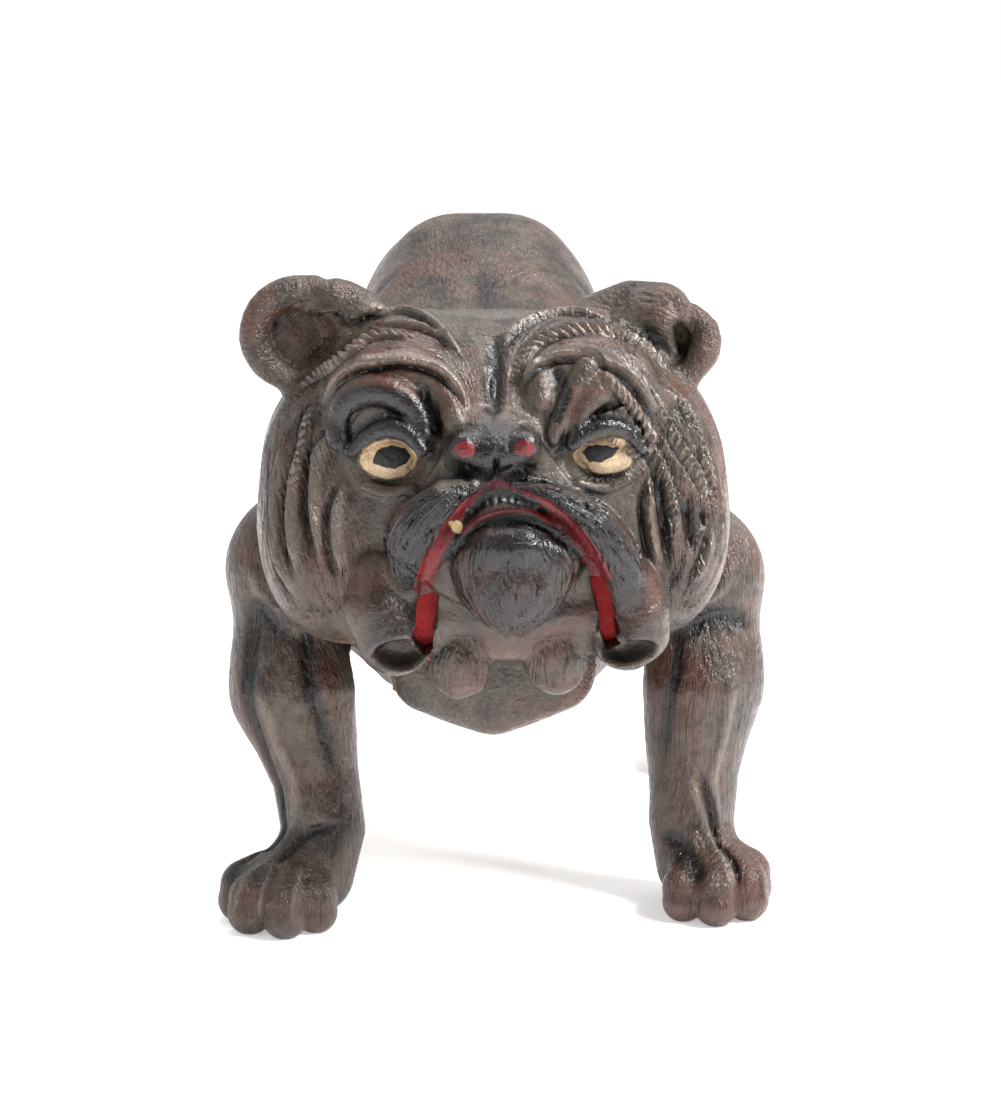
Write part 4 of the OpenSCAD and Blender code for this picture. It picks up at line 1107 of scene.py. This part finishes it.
# %% Bronzed and painted casting
def make_casting():
    material, t, shader = new_material("bronzed_casting")
    where = t.place()
    broad, blotch = t.noise(where, 55.0, 3.0), t.noise(where, 190.0, 4.0, 0.6)
    grain, fine = t.noise(where, 700.0, 4.0, 0.65), t.noise(where, 2600.0, 3.0, 0.6)
    crease, shade, rim, relief = (t.mark(name) for name in ("crease", "shade", "rim", "relief"))
    # bronze lacquer: greyer where it lies thick, red-brown where it is thin, greenish in broad patches
    brown = t.mix(t.ramp(blotch, 0.35, 0.65), rgb(38, 29, 24), rgb(80, 64, 54))
    brown = t.mix(t.math("MULTIPLY", t.ramp(broad, 0.46, 0.62), 0.7), brown, rgb(80, 46, 33))
    green = t.math("MULTIPLY", t.ramp(t.noise(where, 90.0, 4.0, 0.6, 0.4), 0.52, 0.68), 0.4)
    brown = t.mix(green, brown, rgb(66, 70, 60))
    brown = t.mix(t.math("MULTIPLY", t.ramp(grain, 0.5, 0.72), 0.7), brown, rgb(24, 18, 16))
    # painted shade darkens the broad hollows, together with the dark patina that gathers there, and dust lies
    # in them
    brown = t.mix(t.math("MULTIPLY", t.ramp(shade, 0.12, 0.8), 0.75), brown, rgb(20, 15, 13))
    dust = t.node("ShaderNodeGroup", {"Depth": t.ramp(shade, 0.05, 0.6), "Amount": 0.26},
        node_tree=settled_dust)
    brown = t.mix(dust.outputs["Mask"], brown, rgb(104, 96, 80))
    # painted shade darkens the narrow creases and grooves, together with dark wax in them
    crease_shade_and_wax = t.math("ADD", t.ramp(crease, 0.15, 0.6), t.ramp(relief, -0.04, -0.4))
    brown = t.mix(t.math("MULTIPLY", crease_shade_and_wax, 0.9, True), brown, rgb(14, 11, 10))
    # black gloss, brushed on with a ragged edge
    black = t.math("ADD", t.mark("black"), t.math("MULTIPLY", t.math("SUBTRACT", blotch, 0.5), 1.1))
    black = t.ramp(black, 0.2, 0.8)
    colour = t.mix(t.math("MULTIPLY", black, 0.92), brown, rgb(13, 12, 14))
    # crests and rims rubbed to grey metal, and lightened there also as painted highlight
    height = t.math("ADD", t.math("MULTIPLY", rim, 0.6), relief)
    rubbed_glint_node = t.node("ShaderNodeGroup", {"Height": height, "From": 0.12, "To": 0.6, "Break Up": 4.0},
        node_tree=rubbed_edge_glint)
    rubbed_and_glinting = t.math("MULTIPLY", rubbed_glint_node.outputs["Mask"], 0.65)
    colour = t.mix(rubbed_and_glinting, colour, rgb(118, 108, 100))
    # cream eye, black pupil, red lips and one ivory tooth
    wobble = t.math("MULTIPLY", t.math("SUBTRACT", t.noise(where, 900.0, 3.0), 0.5), 0.5)
    eye = t.ramp(t.math("ADD", t.mark("eye"), wobble), 0.06, -0.06)
    crack = t.node("ShaderNodeTexVoronoi", {"Vector": where, "Scale": 750.0}, feature="DISTANCE_TO_EDGE")
    cracks = t.ramp(crack.outputs["Distance"], 0.03, 0.008)
    cream = t.mix(t.ramp(blotch, 0.4, 0.6), rgb(204, 178, 144), rgb(180, 148, 116))
    cream = t.mix(t.math("MULTIPLY", cracks, 0.6), cream, rgb(70, 48, 30))
    outline = t.ramp(t.math("ABSOLUTE", t.math("ADD", t.mark("eye"), 0.1)), 0.22, 0.1)
    colour = t.mix(t.math("MULTIPLY", outline, 0.8), t.mix(eye, colour, cream), rgb(34, 26, 22))
    pupil = t.ramp(t.math("ADD", t.mark("pupil"), t.math("MULTIPLY", wobble, 1.4)), 0.05, -0.05)
    colour = t.mix(pupil, colour, rgb(14, 15, 18))
    lip = t.ramp(t.math("ADD", t.mark("lip"), t.math("MULTIPLY", wobble, 1.2)), 0.08, -0.08)
    red = t.mix(t.ramp(blotch, 0.35, 0.65), rgb(112, 12, 18), rgb(66, 8, 14))
    # the red is rubbed pale on its crests, partly wear and partly painted highlight
    red = t.mix(t.math("MULTIPLY", rubbed_and_glinting, 0.8), red, rgb(140, 78, 74))
    chipped = t.math("MULTIPLY", t.ramp(grain, 0.6, 0.75), 0.5)
    lip = t.math("MULTIPLY", lip, t.math("SUBTRACT", 1.0, chipped))
    colour = t.mix(lip, colour, red)
    colour = t.mix(t.ramp(t.mark("tooth"), 0.1, -0.1), colour, rgb(176, 156, 112))
    t.tree.links.new(colour, shader.inputs["Base Color"])
    # gloss
    painted = t.math("MAXIMUM", eye, lip)
    rough = t.ramp(grain, 0.3, 0.7, 0.22, 0.42)
    rough = t.math("SUBTRACT", rough, t.math("MULTIPLY", black, 0.08))
    rough = t.math("ADD", rough, t.math("MULTIPLY", dust.outputs["Mask"], 0.3))
    rough = t.math("ADD", rough, t.math("MULTIPLY", painted, 0.1), True)
    t.tree.links.new(rough, shader.inputs["Roughness"])
    metal = t.math("MULTIPLY", t.math("MULTIPLY", rubbed_and_glinting, 0.7), t.math("SUBTRACT", 1.0, painted))
    t.tree.links.new(metal, shader.inputs["Metallic"])
    # fine hair along the combed lines, cast grain everywhere
    hair = t.node("ShaderNodeCombineXYZ", {0: t.math("MULTIPLY", t.mark("hair_u"), 0.16),
        1: t.math("MULTIPLY", t.mark("hair_v"), 1.7)})
    strands = t.math("MULTIPLY", t.noise(hair.outputs[0], 1.0, 3.0, 0.6), t.mark("hair"))
    # the plainer coat runs down the legs and back along the body
    for mark, stretch in (("coat_down", (1300.0, 1300.0, 150.0)), ("coat_back", (1300.0, 150.0, 1300.0))):
        drawn = t.node("ShaderNodeMapping", {"Vector": where, "Scale": stretch})
        coat = t.noise(drawn.outputs[0], 1.0, 3.0, 0.6, 0.3)
        strands = t.math("ADD", strands, t.math("MULTIPLY", coat, t.mark(mark)))
    lumps = t.math("ADD", t.math("MULTIPLY", grain, 0.5), t.math("MULTIPLY", fine, 0.22))
    lumps = t.math("ADD", lumps, t.math("MULTIPLY", t.noise(where, 330.0, 2.0), 0.6))
    lumps = t.math("ADD", lumps, t.math("MULTIPLY", strands, 2.2))
    bump = t.node("ShaderNodeBump", {"Height": lumps, "Strength": 0.7, "Distance": 0.0005})
    t.tree.links.new(bump.outputs["Normal"], shader.inputs["Normal"])
    return material


bronzed_casting = make_casting()
print("casting paint:", len(bronzed_casting.node_tree.nodes), "nodes")


# %% [markdown]
# ## Casting the pieces
# Each casting is meshed in its own box, refined where it carries detail, given its strokes and its
# marks, and set in place of its plain CAD node.

# %% Make one casting
COARSE = 1.0


def front_zone(v, n):
    return (n[:, 1] < 0.1) & (v[:, 1] < -47) & (v[:, 2] > 40)


def slot_zone(v, n):
    """The neighbourhood of the coin slot, whichever way the skin faces."""
    return (np.abs(v[:, 1] - SLOT_Y) < 5) & (v[:, 2] > 78) & (np.abs(v[:, 0]) < 20)


def make_casting_piece(name, step, refine=(), relief=None):
    begun = time.perf_counter()
    low, high = (np.array(corner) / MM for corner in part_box(name))
    field = piece_field(name)
    v, t = grid_mesh(field, low - 3, high + 3, step)
    v = settle(field, v, rounds=2)
    for zone in refine:
        n, _ = corner_normals(v, t)
        before = len(v)
        v, t = split(v, t, zone(v, n))
        v = settle(field, v, np.arange(before, len(v)), rounds=2)
    n, _ = corner_normals(v, t)
    marks = shape_marks(field, v, n)
    marks.update(face_marks(v, n))
    hair = comb_hair(v, n, COMBS)
    marks.update(hair)
    down = 1.0 if "leg" in name else 0.0
    marks["coat_down"] = np.full(len(v), down)
    marks["coat_back"] = (1 - down) * (1 - np.clip(hair["hair"], 0, 1)) * np.where(v[:, 1] < -52, 0.3, 0.9)
    height = relief(v, n, FORMS[name]) if relief else np.zeros(len(v))
    height += hair["hair"] * streaks(hair["hair_u"], hair["hair_v"])
    v = v + n * height[:, None]
    n, flat = corner_normals(v, t)
    marks["relief"] = height
    piece = mesh_piece(name + "_cast", v, t, flat, marks)
    piece.data.materials.append(bronzed_casting)
    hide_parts(name)
    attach(piece, "bank")
    print(f"{name}: {len(t)} faces, {time.perf_counter() - begun:.1f} s")
    return piece


make_casting_piece("head_shell", 1.2, [lambda v, n: v[:, 1] < -24, front_zone], face_relief)
make_casting_piece("body_shell", COARSE, [slot_zone, slot_zone], body_relief)
for name in FRONT:
    make_casting_piece(name, COARSE, [lambda v, n: (v[:, 2] < 17) | (n[:, 1] < 0)],
        leg_relief(LEG_STROKES[name]))
for name in HIND:
    make_casting_piece(name, COARSE, [lambda v, n: v[:, 2] < 12])
make_casting_piece("tail", COARSE)

# %% [markdown]
# ## Felt behind the mouth
# Two scraps of red felt are glued to the inner wall and show through the pierced corners of the mouth.
# Felt has no weave: it is a thick mat of short wool, so the sheet is a thin cushion-edged grid with a
# little swell where it is pressed into the hole, and its material is a tangle of fibres.

# %% Felt
def make_felt():
    material, t, shader = new_material("red_felt")
    where = t.place()
    fibre = t.noise(where, 2400.0, 5.0, 0.75, 1.2)
    patch = t.noise(where, 260.0, 3.0)
    colour = t.mix(t.ramp(fibre, 0.35, 0.7), rgb(176, 16, 22), rgb(222, 36, 38))
    colour = t.mix(t.math("MULTIPLY", t.ramp(patch, 0.45, 0.7), 0.5), colour, rgb(150, 10, 16))
    t.tree.links.new(colour, shader.inputs["Base Color"])
    shader.inputs["Roughness"].default_value = 0.95
    shader.inputs["Sheen Weight"].default_value = 0.5
    shader.inputs["Sheen Roughness"].default_value = 0.6
    shader.inputs["Specular IOR Level"].default_value = 0.15
    bump = t.node("ShaderNodeBump", {"Height": fibre, "Strength": 0.8, "Distance": 0.0003})
    t.tree.links.new(bump.outputs["Normal"], shader.inputs["Normal"])
    return material


red_felt = make_felt()


FELT_HALF_WIDTH, FELT_HALF_LENGTH, FELT_THICK = 5.5, 7.0, 0.9


def felt_sheet(name, node, outline):
    low, high = (np.array(corner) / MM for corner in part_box(node))
    outline = np.array(outline)
    top, bottom = outline[:3].mean(0), outline[outline[:, 1].argsort()[:3]].mean(0)
    lean = math.atan2(top[0] - bottom[0], top[1] - bottom[1])
    centre = (low + high) / 2
    us, vs = np.linspace(-1, 1, 23), np.linspace(-1, 1, 29)
    front, back = [], []
    for v in vs:
        for u in us:
            a, b = u * FELT_HALF_WIDTH, v * FELT_HALF_LENGTH
            x = centre[0] + a * math.cos(lean) + b * math.sin(lean)
            z = centre[2] - a * math.sin(lean) + b * math.cos(lean)
            swell = 0.9 * max(0, 1 - (u / 0.55) ** 2) * max(0, 1 - (v / 0.8) ** 2)
            ripple = 0.12 * math.sin(1.3 * a + 0.7 * b) + 0.08 * math.sin(2.1 * b)
            front.append((x, low[1] + 0.05 - (swell * (1 + ripple)), z))
            back.append((x, low[1] + 0.05 - swell + FELT_THICK - 0.1, z))
    n, columns = len(front), len(us)
    cells = [(j * columns + i, j * columns + i + 1, (j + 1) * columns + i + 1, (j + 1) * columns + i)
        for j in range(len(vs) - 1) for i in range(columns - 1)]
    faces = cells + [tuple(n + k for k in reversed(cell)) for cell in cells]
    rim = ([i for i in range(columns)] + [j * columns + columns - 1 for j in range(1, len(vs))]
        + [n - 1 - i for i in range(1, columns)] + [j * columns for j in range(len(vs) - 2, 0, -1)])
    faces += [(b, a, n + a, n + b) for a, b in zip(rim, rim[1:] + rim[:1])]
    mesh = bpy.data.meshes.new(name)
    mesh.from_pydata([tuple(c * MM for c in p) for p in front + back], [], faces)
    mesh.polygons.foreach_set("use_smooth", [True] * len(faces))
    mesh.materials.append(red_felt)
    sheet = bpy.data.objects.new(name, mesh)
    bpy.context.scene.collection.objects.link(sheet)
    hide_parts(node)
    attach(sheet, "bank")
    print(name, "leans", round(math.degrees(lean)), "degrees")
    return sheet


felt_sheet("felt_right", "mouth_felt_right", GAPS[0])
felt_sheet("felt_left", "mouth_felt_left", GAPS[1])


# %% [markdown]
# ## Trap and lock
# The trap's frame and door are brass plate, the rivets and pins dull steel, and the spring bronze strip.
# Their CAD shapes are right, so they keep them and only get their finishes: aged metal is darker
# and rougher in cloudy patches, with fine scratches from the rolling and the file.

# %% Metals of the trap
def aged_metal(name, bright, tarnish, rough):
    material, t, shader = new_material(name)
    where = t.place()
    cloud, speck = t.noise(where, 160.0, 4.0, 0.6), t.noise(where, 1400.0, 4.0, 0.7)
    drawn = t.node("ShaderNodeMapping", {"Vector": where, "Scale": (600.0, 30.0, 600.0)})
    scratch = t.noise(drawn.outputs[0], 3.0, 3.0, 0.6)
    age = t.ramp(t.math("ADD", cloud, t.math("MULTIPLY", t.math("SUBTRACT", speck, 0.5), 0.4)), 0.42, 0.64)
    t.tree.links.new(t.mix(age, bright, tarnish), shader.inputs["Base Color"])
    gloss = t.math("ADD", t.math("MULTIPLY", age, 0.25), t.math("MULTIPLY", scratch, 0.12))
    t.tree.links.new(t.math("ADD", gloss, rough, True), shader.inputs["Roughness"])
    t.tree.links.new(t.math("SUBTRACT", 1.0, t.math("MULTIPLY", age, 0.35)), shader.inputs["Metallic"])
    height = t.math("ADD", t.math("MULTIPLY", scratch, 0.5), t.math("MULTIPLY", speck, 0.5))
    bump = t.node("ShaderNodeBump", {"Height": height, "Strength": 0.35, "Distance": 0.00012})
    t.tree.links.new(bump.outputs["Normal"], shader.inputs["Normal"])
    return material


METALS = {
    "trap_brass": aged_metal("trap_brass", rgb(140, 112, 66), rgb(78, 60, 38), 0.3),
    "dark_steel": aged_metal("dark_steel", rgb(138, 134, 130), rgb(66, 60, 56), 0.32),
    "spring_bronze": aged_metal("spring_bronze", rgb(176, 128, 78), rgb(96, 66, 44), 0.24),
}
for part in frame["record"]["subparts"]:
    if part["material_slot"] in METALS:
        node = frame["nodes"][part["node"]]
        node.data.materials.clear()
        node.data.materials.append(METALS[part["material_slot"]])

# %% [markdown]
# ## Rivets and pins
# Four rivets hold the frame, two the lock case and two pins the escutcheon. They repeat one shape, so
# a Geometry Nodes tree puts a domed head with its shank on every point of a tiny mesh. The sizes are
# named inputs, so one tree makes all three sets. Copying a modelled rivet by hand would also do, but
# each change would then have to be made eight times.

# %% A tree that puts a rivet on every point
def make_rivet_tree():
    tree = bpy.data.node_groups.new("rivet_set", "GeometryNodeTree")
    tree.interface.new_socket("Points", in_out="INPUT", socket_type="NodeSocketGeometry")
    for label in ("Head Diameter", "Head Height", "Shank Diameter", "Shank Length"):
        tree.interface.new_socket(label, in_out="INPUT", socket_type="NodeSocketFloat")
    tree.interface.new_socket("Turn", in_out="INPUT", socket_type="NodeSocketVector")
    tree.interface.new_socket("Finish", in_out="INPUT", socket_type="NodeSocketMaterial")
    tree.interface.new_socket("Rivets", in_out="OUTPUT", socket_type="NodeSocketGeometry")
    t = Tree(tree)
    given = t.node("NodeGroupInput").outputs
    radius = t.math("MULTIPLY", given["Head Diameter"], 0.5)
    globe = t.node("GeometryNodeMeshUVSphere", {"Segments": 24, "Rings": 12, "Radius": radius})
    flatten = t.node("ShaderNodeCombineXYZ", {0: 1.0, 1: 1.0,
        2: t.math("DIVIDE", given["Head Height"], radius)})
    dome = t.node("GeometryNodeTransform", {"Geometry": globe.outputs["Mesh"], "Scale": flatten.outputs[0]})
    shank = t.node("GeometryNodeMeshCylinder", {"Vertices": 24, "Radius": t.math("MULTIPLY",
        given["Shank Diameter"], 0.5), "Depth": given["Shank Length"]})
    sink = t.node("ShaderNodeCombineXYZ", {2: t.math("MULTIPLY", given["Shank Length"], -0.5)})
    shank = t.node("GeometryNodeTransform", {"Geometry": shank.outputs["Mesh"],
        "Translation": sink.outputs[0]})
    one = t.node("GeometryNodeMeshBoolean", {}, operation="UNION")
    tree.links.new(dome.outputs[0], one.inputs["Mesh 2"])
    tree.links.new(shank.outputs[0], one.inputs["Mesh 2"])
    turn = t.node("FunctionNodeEulerToRotation", {0: given["Turn"]})
    placed = t.node("GeometryNodeInstanceOnPoints", {"Points": given["Points"],
        "Instance": one.outputs["Mesh"], "Rotation": turn.outputs[0]})
    real = t.node("GeometryNodeRealizeInstances", {"Geometry": placed.outputs[0]})
    painted = t.node("GeometryNodeSetMaterial", {"Geometry": real.outputs[0], "Material": given["Finish"]})
    result = t.node("NodeGroupOutput", {})
    tree.links.new(painted.outputs[0], result.inputs[0])
    return tree


rivet_tree = make_rivet_tree()


# %% Three sets of rivets
def rivet_set(name, node, body, places, sizes, facing_down):
    holder = bpy.data.objects.new(name + "_points", bpy.data.meshes.new(name + "_points"))
    holder.data.from_pydata([tuple(c * MM for c in place) for place in places], [], [])
    bpy.context.scene.collection.objects.link(holder)
    modifier = holder.modifiers.new("rivets", "NODES")
    modifier.node_group = rivet_tree
    keys = {item.name: item.identifier for item in rivet_tree.interface.items_tree}
    for label, size in zip(("Head Diameter", "Head Height", "Shank Diameter", "Shank Length"), sizes):
        modifier[keys[label]] = size * MM
    modifier[keys["Turn"]] = (math.pi if facing_down else 0.0, 0.0, 0.0)
    modifier[keys["Finish"]] = METALS["dark_steel"]
    ready = holder.evaluated_get(bpy.context.evaluated_depsgraph_get())
    mesh = bpy.data.meshes.new_from_object(ready)
    bpy.data.objects.remove(holder)
    piece = bpy.data.objects.new(name, mesh)
    bpy.context.scene.collection.objects.link(piece)
    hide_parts(node)
    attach(piece, body)
    print(name, len(places), "rivets,", len(mesh.polygons), "faces")
    return piece


def box_mm(node):
    return [np.array(corner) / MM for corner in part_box(node)]


low, high = box_mm("trap_frame_rivets")
corners = [(x, y, low[2] + 0.6) for x in (low[0] + 1.44, high[0] - 1.44)
    for y in (low[1] + 1.44, high[1] - 1.44)]
rivet_set("frame_rivets", "trap_frame_rivets", "bank", corners,
    (2.88, 0.6, 1.6, high[2] - low[2] - 0.65), True)
low, high = box_mm("lock_case_rivets")
middle = (low[0] + high[0]) / 2
ends = [(middle, low[1] + 1.1, high[2] - 0.5), (middle, high[1] - 1.1, high[2] - 0.8)]
rivet_set("case_rivets", "lock_case_rivets", "trap", ends, (2.2, 0.5, 1.2, 2.0), False)
low, high = box_mm("escutcheon_pins")
middle = (low[1] + high[1]) / 2
ends = [(x, middle, low[2] + 0.3) for x in (low[0] + 0.8, high[0] - 0.8)]
rivet_set("escutcheon_pin_pair", "escutcheon_pins", "trap", ends,
    (1.6, 0.3, 0.9, high[2] - low[2] - 0.35), True)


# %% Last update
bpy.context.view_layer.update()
print("made in", round(time.perf_counter() - started, 1), "s")
